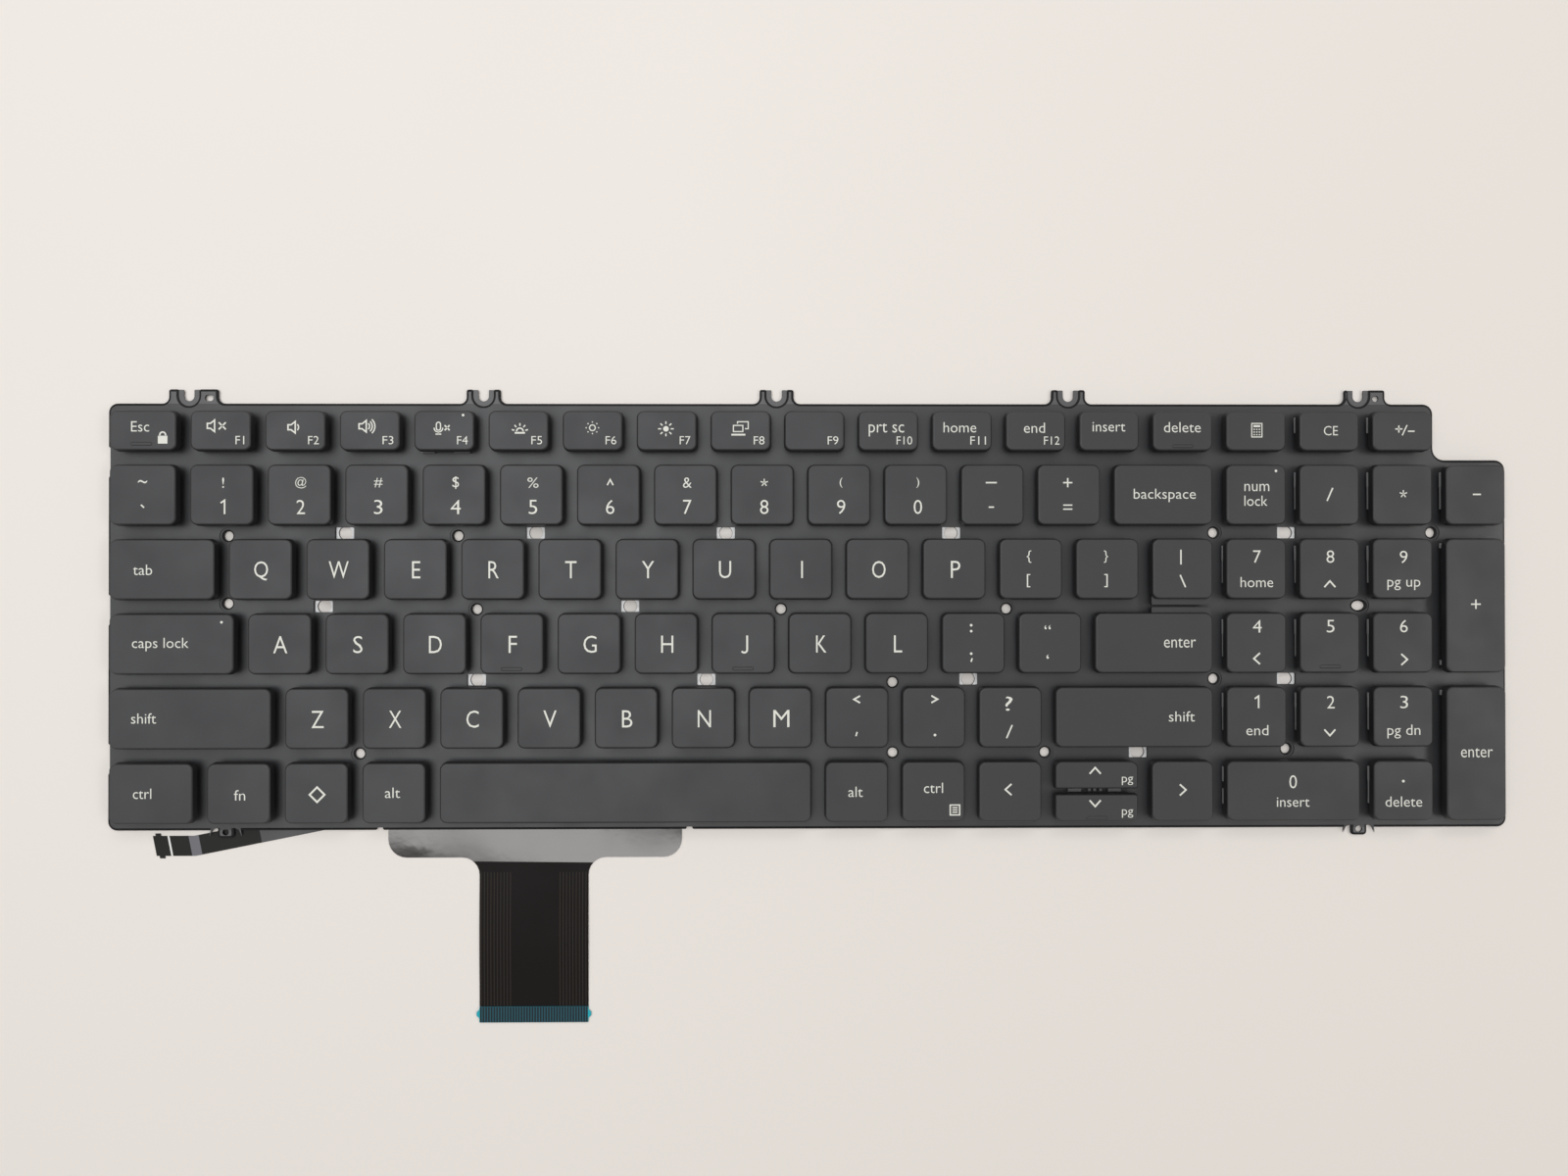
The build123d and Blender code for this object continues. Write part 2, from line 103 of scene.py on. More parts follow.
screw_points = [(LEFT + x, gap_line(row) + y) for row, line in enumerate(SCREW_LINES) for x, y in line]
window_points = [(LEFT + x, gap_line(row)) for row, line in enumerate(WINDOW_LINES) for x in line]
slot_point = (LEFT + SCREW_SLOT, gap_line(1))
flap_middle = LEFT + FLAP_LEFT + FLAP_WIDTH / 2
lead_knee = Vector((LEFT + LEAD_KNEE[0], FRONT - LEAD_KNEE[1]))
lead_along = Vector((cos(LEAD_TURN), sin(LEAD_TURN)))
lead_across = Vector((-sin(LEAD_TURN), cos(LEAD_TURN)))


def outline(bm, corners):
    """A closed line through (x, y, radius) corners, each rounded by its radius."""
    ring = [bm.verts.new((x, y, 0)) for x, y, _ in corners]
    for pair in zip(ring, ring[1:] + ring[:1]):
        bm.edges.new(pair)
    for vert, (_, _, radius) in zip(ring, corners):
        if radius:
            bmesh.ops.bevel(
                bm, geom=[vert], offset=radius, offset_type="ABSOLUTE", segments=ARC_STEPS,
                profile=0.5, affect="VERTICES", material=-1,
            )


def box_outline(bm, x, y, width, depth, radius):
    """A rectangle about a point, with one corner radius or four, from the front left corner round."""
    left, right, front, rear = x - width / 2, x + width / 2, y - depth / 2, y + depth / 2
    radii = radius if isinstance(radius, tuple) else (radius,) * 4
    places = ((left, front), (right, front), (right, rear), (left, rear))
    outline(bm, [(*place, corner) for place, corner in zip(places, radii)])


def round_outline(bm, x, y, radius, stretch=1.0):
    ring = bmesh.ops.create_circle(bm, segments=HOLE_STEPS, radius=radius)["verts"]
    bmesh.ops.scale(bm, verts=ring, vec=(stretch, 1, 1))
    bmesh.ops.translate(bm, verts=ring, vec=(x, y, 0))


def stepped_corners(inset, rear_inset=None):
    """The plate's outline without its ears, clockwise from the front left, moved in by the inset."""
    left, right, front = LEFT + inset, RIGHT - inset, FRONT + inset
    rear = REAR - (rear_inset or inset)
    return [
        (left, front, PLATE_CORNER),
        (left, rear, PLATE_CORNER),
        (STEP_X - inset, rear, STEP_OUTER_RADIUS),
        (STEP_X - inset, STEP_Y - inset, STEP_INNER_RADIUS),
        (right, STEP_Y - inset, STEP_OUTER_RADIUS),
        (right, front, PLATE_CORNER),
    ]


def fill(bm, lines=None):
    """Faces between the lines of a flat drawing, open at its holes."""
    edges = lines or bm.edges[:]
    bmesh.ops.triangle_fill(bm, use_beauty=True, use_dissolve=False, edges=edges, normal=(0, 0, 1))


def shift(bm, x, y, z):
    bmesh.ops.translate(bm, verts=bm.verts[:], vec=(x, y, z))


def outward(bm):
    bmesh.ops.recalc_face_normals(bm, faces=bm.faces[:])


def cut(bm, place, across):
    """Cuts a drawing along a plane and keeps both sides."""
    everything = bm.verts[:] + bm.edges[:] + bm.faces[:]
    bmesh.ops.bisect_plane(bm, geom=everything, plane_co=place, plane_no=across)


def doubled(bm):
    """Copies the faces of a flat drawing, joins both by walls and returns the copy's points."""
    made = bmesh.ops.extrude_face_region(bm, geom=bm.faces[:])["geom"]
    return [item for item in made if isinstance(item, bmesh.types.BMVert)]


def thicken(bm, bottom, top):
    """Turns a flat drawing into a closed slab between two heights."""
    shift(bm, 0, 0, bottom)
    bmesh.ops.translate(bm, verts=doubled(bm), vec=(0, 0, top - bottom))
    outward(bm)


def lathe(bm, points, x, y, steps, stretch=1.0, closed=False):
    """Adds a line of (radius, height) points, turned once about an upright axis."""
    before = set(bm.verts)
    line = [bm.verts.new((radius, 0, z)) for radius, z in points]
    edges = [bm.edges.new(pair) for pair in zip(line, line[1:] + (line[:1] if closed else []))]
    bmesh.ops.spin(
        bm, geom=line + edges, cent=(0, 0, 0), axis=(0, 0, 1), dvec=(0, 0, 0),
        angle=2 * pi, steps=steps, use_merge=True, use_duplicate=False,
    )
    turned = [vert for vert in bm.verts if vert not in before]
    bmesh.ops.scale(bm, verts=turned, vec=(stretch, 1, 1))
    bmesh.ops.translate(bm, verts=turned, vec=(x, y, 0))


def piece(name, bm, finishes, body="chassis", replaces=(), crease=35):
    """Finishes a piece: metres, shading that breaks at creases, materials, and the body it rides on."""
    bmesh.ops.scale(bm, verts=bm.verts[:], vec=(MM, MM, MM))
    mesh = bpy.data.meshes.new(name)
    bm.to_mesh(mesh)
    bm.free()
    mesh.shade_smooth()
    mesh.set_sharp_from_angle(angle=radians(crease))
    for finish in finishes:
        mesh.materials.append(finish)
    made = bpy.data.objects.new(name, mesh)
    bpy.context.scene.collection.objects.link(made)
    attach(made, body)
    if replaces:
        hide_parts(*replaces)
    return made


def node(tree, kind, values=(), wires=()):
    """Adds a shader node, with the values and the incoming wires of its sockets."""
    made = tree.nodes.new(f"ShaderNode{kind}")
    for socket, value in dict(values).items():
        made.inputs[socket].default_value = value
    for socket, source in dict(wires).items():
        tree.links.new(source, made.inputs[socket])
    return made


def noise(tree, scale, detail=2.0):
    """A noise value on the piece's own coordinates; scale is in features for each metre."""
    place = node(tree, "TexCoord").outputs["Object"]
    return node(tree, "TexNoise", {"Scale": scale, "Detail": detail}, {"Vector": place}).outputs["Fac"]


def ramp(tree, value, stops):
    """A colour ramp over a value; stops are (place, colour)."""
    made = node(tree, "ValToRGB", wires={"Fac": value})
    while len(made.color_ramp.elements) < len(stops):
        made.color_ramp.elements.new(0.5)
    for element, (place, colour) in zip(made.color_ramp.elements, stops):
        element.position = place
        element.color = (*colour, 1)
    return made.outputs["Color"]


def spread(tree, value, low, high):
    """Maps the middle of a noise value to a range of numbers."""
    limits = {"From Min": 0.3, "From Max": 0.7, "To Min": low, "To Max": high}
    return node(tree, "MapRange", limits, {"Value": value}).outputs["Result"]


def grained(name, dark, light, roughness, grain, depth=0.00001, cloud=90.0, specular=0.5):
    """A finish with a fine grain: a tone between two colours, uneven gloss and a fine bump."""
    material = bpy.data.materials.new(name)
    material.use_nodes = True
    tree = material.node_tree
    fine, slow = noise(tree, grain, 3.0), noise(tree, cloud)
    both = node(tree, "Math", wires={0: fine, 1: slow})
    both.operation = "ADD"
    tone = ramp(tree, spread(tree, both.outputs[0], -0.5, 0.5), ((0.2, dark), (0.8, light)))
    grooves = node(tree, "Bump", {"Strength": 0.5, "Distance": depth}, {"Height": fine})
    inputs = tree.nodes["Principled BSDF"].inputs
    inputs["Specular IOR Level"].default_value = specular
    tree.links.new(tone, inputs["Base Color"])
    tree.links.new(spread(tree, slow, *roughness), inputs["Roughness"])
    tree.links.new(grooves.outputs["Normal"], inputs["Normal"])
    return material


DOT_CELLS, DOT_SPREAD = 650.0, 0.35
guide_film = grained("guide_film", (0.78, 0.78, 0.78), (0.86, 0.86, 0.86), (0.25, 0.4), 1800.0, 0.00002)
# Painted shade: the sheet's cut walls, round its holes and along its edges, are dark grey to stand for the
# shade in the holes.
guide_cut_shade = grained("guide_cut_shade", (0.13, 0.13, 0.135), (0.24, 0.24, 0.245), (0.4, 0.55), 1800.0, 0.00002)
tree = guide_film.node_tree
place = node(tree, "TexCoord").outputs["Object"]
dots = node(tree, "TexVoronoi", {"Scale": DOT_CELLS, "Randomness": DOT_SPREAD}, {"Vector": place})
DOT_TONES = ((0.20, (0.90, 0.90, 0.90)), (0.28, (0.78, 0.78, 0.785)))
dotted = ramp(tree, dots.outputs["Distance"], DOT_TONES)
tree.links.new(dotted, tree.nodes["Principled BSDF"].inputs["Base Color"])

bm = bmesh.new()
room_start = lead_knee + lead_across * (LEAD_WIDTH / 2 + GUIDE_ROOM)
room_end = room_start + lead_along * (LEAD_RUN + GUIDE_ROOM)
guide_front = FRONT + GUIDE_INSET
room_left = room_start.x + (guide_front - room_start.y) / tan(LEAD_TURN)
room_right = room_end.x + (room_end.y - guide_front) * tan(LEAD_TURN)
tail_left = flap_middle - FLAP_WIDTH / 2 - GUIDE_ROOM
tail_right = flap_middle + FLAP_WIDTH / 2 + GUIDE_ROOM
tail_rear = FRONT + TAIL_SLOT_INSET + GUIDE_TAIL_ROOM
front_cuts = [
    (tail_right, guide_front, GUIDE_CORNER), (tail_right, tail_rear, GUIDE_INNER_CORNER),
    (tail_left, tail_rear, GUIDE_INNER_CORNER), (tail_left, guide_front, GUIDE_CORNER),
    (room_right, guide_front, GUIDE_CORNER), (*room_end, GUIDE_INNER_CORNER), (room_left, guide_front, 0),
]
outline(bm, stepped_corners(GUIDE_INSET) + front_cuts)
for x, y in screw_points + [slot_point]:
    box_outline(bm, x, y, 2 * GUIDE_SCREW_ROOM, 2 * GUIDE_SCREW_ROOM, GUIDE_SCREW_CORNER)
for x, y in window_points:
    round_outline(bm, x, y, GUIDE_HOLE_RADIUS)
fill(bm)
thicken(bm, guide_low.z, guide_high.z)
for x, y in window_points:
    middle = Vector((x, y, guide_low.z))
    lower_ring = [vert for vert in bm.verts if (vert.co - middle).length < GUIDE_HOLE_RADIUS + 0.01]
    taper = (GUIDE_HOLE_TAPER, GUIDE_HOLE_TAPER, 1)
    bmesh.ops.scale(bm, verts=lower_ring, vec=taper, space=Matrix.Translation(-middle))
bm.normal_update()
# Flat faces take the dotted film; the cut walls take the painted shade.
for face in bm.faces:
    face.material_index = 0 if abs(face.normal.z) > 0.9 else 1
piece("guide_sheet", bm, [guide_film, guide_cut_shade], replaces=["backlight_guide"])

# Light guide's lead: a flat flexible strip with a contact head, from the lamp strip to the main board.
# Printed copper in black film, bare of film at two bands, with a stiffened head that has an ear on each side.
LEAD_HEAD = 9.8
LEAD_EAR = 0.6
HEAD_STEPS = ((2.0, 0), (2.0, LEAD_EAR), (0.7, LEAD_EAR), (0.7, 0), (0, 0))
LEAD_BANDS = (-6.1, -5.65, -1.05, 1.4, 16.3)
LEAD_FINISHES = (0, 1, 0, 2, 0, 3)
lead_low, lead_high = node_box("backlight_lead")

lead_film = grained(
    "lead_film", (0.008, 0.008, 0.008), (0.018, 0.018, 0.017), (0.4, 0.55), 2500.0, specular=0.15,
)
lead_mark = grained("lead_mark", (0.70, 0.70, 0.68), (0.80, 0.80, 0.78), (0.4, 0.5), 2500.0)
lead_bare = grained("lead_bare", (0.10, 0.10, 0.115), (0.15, 0.15, 0.17), (0.45, 0.6), 2500.0)
lead_clear = grained("lead_clear", (0.040, 0.040, 0.043), (0.065, 0.065, 0.070), (0.45, 0.6), 1500.0)

bm = bmesh.new()
half = LEAD_WIDTH / 2
knee_shift = half * tan(LEAD_TURN / 2)
slant = tan(LEAD_TURN)
head_end = lead_knee.x - LEAD_HEAD


def head_point(along, side, out):
    """A point on the head's long edges; the head's end and its ears are cut square to the strip."""
    y = side * (half + out)
    return (head_end + along - slant * y, lead_knee.y + y, 0)


strip_end = lead_knee + lead_along * LEAD_RUN
outline(bm, [
    (*(strip_end - lead_across * half), 0),
    (*(strip_end + lead_across * half), 0),
    (lead_knee.x - knee_shift, lead_knee.y + half, 0),
    *(head_point(along, 1, out) for along, out in HEAD_STEPS),
    *(head_point(along, -1, out) for along, out in reversed(HEAD_STEPS)),
    (lead_knee.x + knee_shift, lead_knee.y - half, 0),
])
fill(bm)
for band in LEAD_BANDS:
    cut(bm, (*(lead_knee + lead_along * band), 0), (*lead_along, 0))
thicken(bm, lead_low.z, lead_high.z)
for face in bm.faces:
    reach = (face.calc_center_median().xy - lead_knee).dot(lead_along)
    face.material_index = LEAD_FINISHES[sum(reach > band for band in LEAD_BANDS)]
lead_finishes = [lead_film, lead_mark, lead_bare, lead_clear]
piece("lead_strip", bm, lead_finishes, replaces=["backlight_lead"])

# Support plate: stamped steel sheet, painted dark, that carries the keys and takes the screws.
# Its ears, tabs, holes and windows are punched, the rim is rolled over, a step is coined round each notch,
# and each screw hole is drawn down into a dish.
EAR_FIRST, EAR_PITCH, EAR_HEIGHT = 19.65, 72.3, 3.5
EAR_REACHES = ((4.95, 7.2), (4.2, 4.2), (4.2, 4.2), (4.2, 4.2), (3.5, 6.7))
EAR_ROOT, EAR_TIP = 1.6, 0.5
NOTCH_RADIUS, NOTCH_DEPTH = 1.28, 2.9
COIN_RADIUS, COIN_TOP = 2.45, 0.6
EAR_SLOT, EAR_SLOT_CORNER = (5.0, 1.35, 2.05, 1.55), 0.7
EAR_HOLE = (4.3, 1.35, 0.75)
FRONT_TABS = (28.85, 308.65)
TAB_WIDTH, TAB_REACH, TAB_CORNER = 4.0, 1.9, 0.9
TAB_HOLE_RADIUS, TAB_HOLE_DROP = 0.8, 0.4
TAB_NICK, TAB_NICK_DEPTH, TAB_NICK_CORNER = 1.1, 0.5, 0.35
LEFT_RELIEFS, RIGHT_RELIEFS = (14.4, 50.8, 87.4), (50.0, 85.9)
RELIEF_LENGTH, RELIEF_DEPTH, RELIEF_CORNER, DEEP_CORNER = 7.0, 0.6, 0.45, 0.1
NICK_OFFSET, NICK_WIDTH, NICK_DEPTH = 1.9, 1.4, 0.7
RIM_STEPS = ((0.14, 0.16), (0.22, 0.08), (0.24, 0.02))
# Band at the front and rear edges beyond which the plate takes its lighter paint, partly painted light.
LIT_THIN_EDGE = 0.05
SCREW_RADIUS, DISH_RADIUS, DISH_FLANGE = 1.2, 1.55, 1.9
DISH_PROFILE = (
    (1.53, 0.79), (SCREW_RADIUS, 0.62), (SCREW_RADIUS, 0.05),
    (DISH_FLANGE, 0.05), (DISH_FLANGE, 0.38), (1.53, 0.38),
)
SLOT_STRETCH = 1.4
WINDOW_SIZE, WINDOW_CORNER = (4.5, 2.8), 0.25
TAIL_SLOT_ROOM, TAIL_SLOT_DEPTH, TAIL_SLOT_CORNER = 0.6, 0.8, 0.3
PLATE_Z, FILM_Z = 0.4, 0.8

plate_paint = grained(
    "plate_paint", (0.018, 0.018, 0.020), (0.034, 0.034, 0.037), (0.38, 0.52), 3000.0,
)
# Partly painted light: a lighter copy of the plate paint for the ears, tabs and reliefs, which no cap shades;
# partly their thinner paint.
lit_thin_paint = grained("lit_thin_paint", (0.055, 0.055, 0.058), (0.095, 0.095, 0.100), (0.38, 0.52), 2600.0)
# Painted shade: the rolled rim, the cut walls, the walls of the coined steps and the screw dishes are near
# black for the shade they stand in.
plate_edge_shade = grained(
    "plate_edge_shade", (0.004, 0.004, 0.005), (0.010, 0.010, 0.011), (0.40, 0.55), 3000.0, specular=0.15,
)

ear_points = [LEFT + EAR_FIRST + n * EAR_PITCH for n in range(len(EAR_REACHES))]
relief_points = [(LEFT, REAR - drop) for drop in LEFT_RELIEFS]
relief_points += [(RIGHT, REAR - drop) for drop in RIGHT_RELIEFS]
notch_y = REAR + EAR_HEIGHT - NOTCH_DEPTH + NOTCH_RADIUS


def relief(x, y, inward):
    """A shallow cut in a side of the plate; inward is 1 at the left side and -1 at the right."""
    deep = x + inward * RELIEF_DEPTH
    low, high = y - RELIEF_LENGTH / 2, y + RELIEF_LENGTH / 2
    return [
        (x, low, RELIEF_CORNER), (deep, low, DEEP_CORNER),
        (deep, high, DEEP_CORNER), (x, high, RELIEF_CORNER),
    ]


def notch(x, radius, top, tip):
    """An open notch in an ear, from left to right."""
    floor, bottom = notch_y - radius, radius - 0.01
    return [
        (x - radius, top, tip), (x - radius, floor, bottom),
        (x + radius, floor, bottom), (x + radius, top, tip),
    ]


def ear(x, reaches):
    """An ear, open as wide as the coined step in it, from left to right."""
    top = REAR + EAR_HEIGHT
    left, right = x - reaches[0], x + reaches[1]
    return [
        (left, REAR, EAR_ROOT), (left, top, EAR_TIP), *notch(x, COIN_RADIUS, top, EAR_TIP),
        (right, top, EAR_TIP), (right, REAR, EAR_ROOT),
    ]


def front_tab(x):
    """A tab at the front edge between two small nicks, from right to left."""
    side, nick = TAB_WIDTH / 2, TAB_WIDTH / 2 + TAB_NICK
    out, deep = FRONT - TAB_REACH, FRONT + TAB_NICK_DEPTH
    return [
        (x + nick, FRONT, TAB_NICK_CORNER), (x + nick, deep, DEEP_CORNER),
        (x + side, deep, DEEP_CORNER), (x + side, out, TAB_CORNER),
        (x - side, out, TAB_CORNER), (x - side, deep, DEEP_CORNER),
        (x - nick, deep, DEEP_CORNER), (x - nick, FRONT, TAB_NICK_CORNER),
    ]


def front_nick(x):
    left, right, deep = x - NICK_WIDTH / 2, x + NICK_WIDTH / 2, FRONT + NICK_DEPTH
    return [
        (right, FRONT, RELIEF_CORNER), (right, deep, DEEP_CORNER),
        (left, deep, DEEP_CORNER), (left, FRONT, RELIEF_CORNER),
    ]


front_left, rear_left, rear_right, step_inner, step_right, front_right = stepped_corners(0)
plate_corners = [front_left]
for drop in reversed(LEFT_RELIEFS):
    plate_corners += relief(LEFT, REAR - drop, 1)
plate_corners.append(rear_left)
for x, reaches in zip(ear_points, EAR_REACHES):
    plate_corners += ear(x, reaches)
plate_corners += [rear_right, step_inner, step_right]
for drop in RIGHT_RELIEFS:
    plate_corners += relief(RIGHT, REAR - drop, -1)[::-1]
plate_corners.append(front_right)
nick_reach = FLAP_WIDTH / 2 + NICK_OFFSET
plate_corners += front_tab(LEFT + FRONT_TABS[1])
plate_corners += front_nick(flap_middle + nick_reach) + front_nick(flap_middle - nick_reach)
plate_corners += front_tab(LEFT + FRONT_TABS[0])

bm = bmesh.new()
outline(bm, plate_corners)
middle = bmesh.ops.contextual_create(bm, geom=bm.edges[:])["faces"][0]
if middle.normal.z < 0:
    middle.normal_flip()
# The rim's faces take the near-black painted shade.
for width, rise in RIM_STEPS:
    rim = bmesh.ops.inset_region(
        bm, faces=[middle], thickness=width, depth=rise, use_even_offset=True, use_boundary=True,
    )
    for face in rim["faces"]:
        face.material_index = 2
rim_height = sum(rise for _, rise in RIM_STEPS)
inner_ring = list(middle.edges)
bmesh.ops.delete(bm, geom=[middle], context="FACES_ONLY")
shift(bm, 0, 0, -rim_height)
rim_edges = set(bm.edges)
for x, y in screw_points:
    round_outline(bm, x, y, DISH_RADIUS)
round_outline(bm, *slot_point, DISH_RADIUS, SLOT_STRETCH)
for x, y in window_points:
    box_outline(bm, x, y, *WINDOW_SIZE, WINDOW_CORNER)
tail_slot = (FLAP_WIDTH + TAIL_SLOT_ROOM, TAIL_SLOT_DEPTH, TAIL_SLOT_CORNER)
box_outline(bm, flap_middle, FRONT + TAIL_SLOT_INSET, *tail_slot)
box_outline(bm, ear_points[0] + EAR_SLOT[0], REAR + EAR_SLOT[1], *EAR_SLOT[2:], EAR_SLOT_CORNER)
round_outline(bm, ear_points[-1] + EAR_HOLE[0], REAR + EAR_HOLE[1], EAR_HOLE[2])
for x in FRONT_TABS:
    round_outline(bm, LEFT + x, FRONT - TAB_HOLE_DROP, TAB_HOLE_RADIUS)
hole_edges = [edge for edge in bm.edges if edge not in rim_edges]
fill(bm, inner_ring + hole_edges)
# Cuts where the lighter paint, partly painted light, begins.
for line in (REAR - LIT_THIN_EDGE, FRONT + LIT_THIN_EDGE):
    cut(bm, (0, line, 0), (0, 1, 0))
shift(bm, 0, 0, FILM_Z)
for vert in doubled(bm):
    vert.co.z = PLATE_Z
outward(bm)


def in_relief(place):
    return any(abs(place.x - x) < 1 and abs(place.y - y) < RELIEF_LENGTH / 2 - 0.2 for x, y in relief_points)


# Walls take the near-black painted shade; the ears, tabs and reliefs take the lighter paint, partly painted
# light.
for face in bm.faces:
    place = face.calc_center_median()
    lit_thin = not FRONT + LIT_THIN_EDGE <= place.y <= REAR - LIT_THIN_EDGE or in_relief(place)
    if abs(face.normal.z) < 0.5 and not in_relief(place):
        face.material_index = 2
    elif face.material_index != 2 or in_relief(place):
        face.material_index = 1 if lit_thin else 0
piece("steel_plate", bm, [plate_paint, lit_thin_paint, plate_edge_shade], replaces=["support_plate"])

bm = bmesh.new()
for x in ear_points:
    top = REAR + EAR_HEIGHT - 0.1
    outline(bm, notch(x, COIN_RADIUS + 0.05, top, 0) + notch(x, NOTCH_RADIUS, top, 0.2)[::-1])
fill(bm)
thicken(bm, PLATE_Z, COIN_TOP)
# Step tops take the lighter paint, partly painted light; their walls take the near-black painted shade.
for face in bm.faces:
    face.material_index = 0 if abs(face.normal.z) > 0.5 else 1
piece("ear_steps", bm, [lit_thin_paint, plate_edge_shade])

# The screw dishes are all in the near-black painted shade.
bm = bmesh.new()
for x, y in screw_points + [slot_point]:
    stretch = SLOT_STRETCH if (x, y) == slot_point else 1.0
    lathe(bm, DISH_PROFILE, x, y, HOLE_STEPS, stretch, closed=True)
outward(bm)
piece("screw_dishes", bm, [plate_edge_shade])

# Switch film: three printed polyester layers, bonded together, that hold the contacts of all keys.
# Matt black on top, die cut to clear the screws and the light windows, and laid on the plate.
FILM_INSET, FILM_REAR_INSET = 0.68, 1.15
FILM_HOLE_RADIUS = 2.0
FILM_SLOT_SIZE, FILM_SLOT_CORNER = (5.0, 4.0), 1.9
FILM_TOP = 1.0
WINDOW_CLEARANCE, FILM_WINDOW_CORNER = 0.1, 0.3

film_print = grained(
    "film_print", (0.016, 0.0165, 0.0185), (0.030, 0.031, 0.0335), (0.38, 0.5), 2600.0,
)

bm = bmesh.new()
outline(bm, stepped_corners(FILM_INSET, FILM_REAR_INSET))
for x, y in screw_points:
    round_outline(bm, x, y, FILM_HOLE_RADIUS)
box_outline(bm, *slot_point, *FILM_SLOT_SIZE, FILM_SLOT_CORNER)
for x, y in window_points:
    box_outline(bm, x, y, *(size + 2 * WINDOW_CLEARANCE for size in WINDOW_SIZE), FILM_WINDOW_CORNER)
fill(bm)
thicken(bm, FILM_Z, FILM_TOP)
piece("switch_film", bm, [film_print], replaces=["membrane"])

# Film tail: the switch film's own tongue, folded down through a slot and out under the plate's front edge.
# Glossy polyester, creased where it narrows to a satin ribbon with printed traces that lies on the table.
FLAP_REACH, FLAP_CORNER, FLAP_IOR = 6.95, 4.5, 1.65
RIBBON_LEFT, RIBBON_WIDTH, RIBBON_ROOT = 90.9, 26.8, 4.3
TAIL_REACH = 47.55
TAIL_BOTTOM, TAIL_THICKNESS = 0.02, 0.16
TAIL_ROWS, TAIL_COLUMNS = 60, 24
CREASE, CREASE_SLANT = 8.1, 0.012
RIBBON_RISE = 0.25
STIFFENER_LENGTH = 3.9
TRACE_SPANS = ((-13.0, -5.6), (6.4, 13.2))
TRACE_PITCH, TRACE_WIDTH, TRACE_HEIGHT, TRACE_SINK = 0.8, 0.2, 0.012, 0.01
TRACE_START, TRACE_OVERLAP = 2.5, 0.1
ribbon_middle = LEFT + RIBBON_LEFT + RIBBON_WIDTH / 2
tail_top, tail_end = FRONT + TAIL_SLOT_INSET, FRONT - TAIL_REACH
ribbon_flat = tail_end + STIFFENER_LENGTH


def crease_at(x):
    return FRONT - CREASE - CREASE_SLANT * (x - ribbon_middle)


def tail_rise(place):
    """Height of the tail over its lowest place: flat but for a low bow on the ribbon."""
    crease = crease_at(place.x)
    if not ribbon_flat < place.y < crease:
        return 0.0
    return RIBBON_RISE * sin(pi * (crease - place.y) / (crease - ribbon_flat)) ** 2


def lay(bm, bottom, top):
    """Thickens a flat drawing, cuts it into rows and lays it along the tail."""
    for row in range(1, TAIL_ROWS):
        y = tail_top + (tail_end - tail_top) * row / TAIL_ROWS
        cut(bm, (0, y, 0), (0, 1, 0))
    thicken(bm, bottom, top)
    for vert in bm.verts:
        vert.co.z += tail_rise(vert.co)


flap_film = grained(
    "flap_film", (0.006, 0.0055, 0.006), (0.012, 0.011, 0.0115), (0.05, 0.11), 260.0, 0.00002, cloud=60.0,
)
flap_film.node_tree.nodes["Principled BSDF"].inputs["IOR"].default_value = FLAP_IOR
ribbon_film = grained(
    "ribbon_film", (0.004, 0.003, 0.003), (0.009, 0.007, 0.007), (0.36, 0.48), 1500.0, specular=0.08,
)
trace_print = grained(
    "trace_print", (0.018, 0.015, 0.012), (0.034, 0.028, 0.022), (0.4, 0.5), 1500.0, specular=0.1,
)

bm = bmesh.new()
half_flap, half_ribbon = FLAP_WIDTH / 2, RIBBON_WIDTH / 2
flap_end = FRONT - FLAP_REACH
outline(bm, [
    (flap_middle - half_flap, tail_top, 0), (flap_middle + half_flap, tail_top, 0),
    (flap_middle + half_flap, flap_end, FLAP_CORNER), (ribbon_middle + half_ribbon, flap_end, RIBBON_ROOT),
    (ribbon_middle + half_ribbon, tail_end, 0), (ribbon_middle - half_ribbon, tail_end, 0),
    (ribbon_middle - half_ribbon, flap_end, RIBBON_ROOT), (flap_middle - half_flap, flap_end, FLAP_CORNER),
])
fill(bm)
cut(bm, (ribbon_middle, crease_at(ribbon_middle), 0), (CREASE_SLANT, 1, 0))
for column in range(1, TAIL_COLUMNS):
    cut(bm, (flap_middle + FLAP_WIDTH * (column / TAIL_COLUMNS - 0.5), 0, 0), (1, 0, 0))
lay(bm, TAIL_BOTTOM, TAIL_BOTTOM + TAIL_THICKNESS)
for face in bm.faces:
    place = face.calc_center_median()
    face.material_index = 0 if place.y > crease_at(place.x) else 1
piece("film_tail", bm, [flap_film, ribbon_film])

bm = bmesh.new()
trace_top, trace_end = crease_at(ribbon_middle) - TRACE_START, ribbon_flat - TRACE_OVERLAP
for start, end in TRACE_SPANS:
    for n in range(int((end - start) / TRACE_PITCH) + 1):
        x = ribbon_middle + start + n * TRACE_PITCH
        box_outline(bm, x, (trace_top + trace_end) / 2, TRACE_WIDTH, trace_top - trace_end, 0)
fill(bm)
ribbon_top = TAIL_BOTTOM + TAIL_THICKNESS
lay(bm, ribbon_top - TRACE_SINK, ribbon_top + TRACE_HEIGHT)
piece("tail_traces", bm, [trace_print])

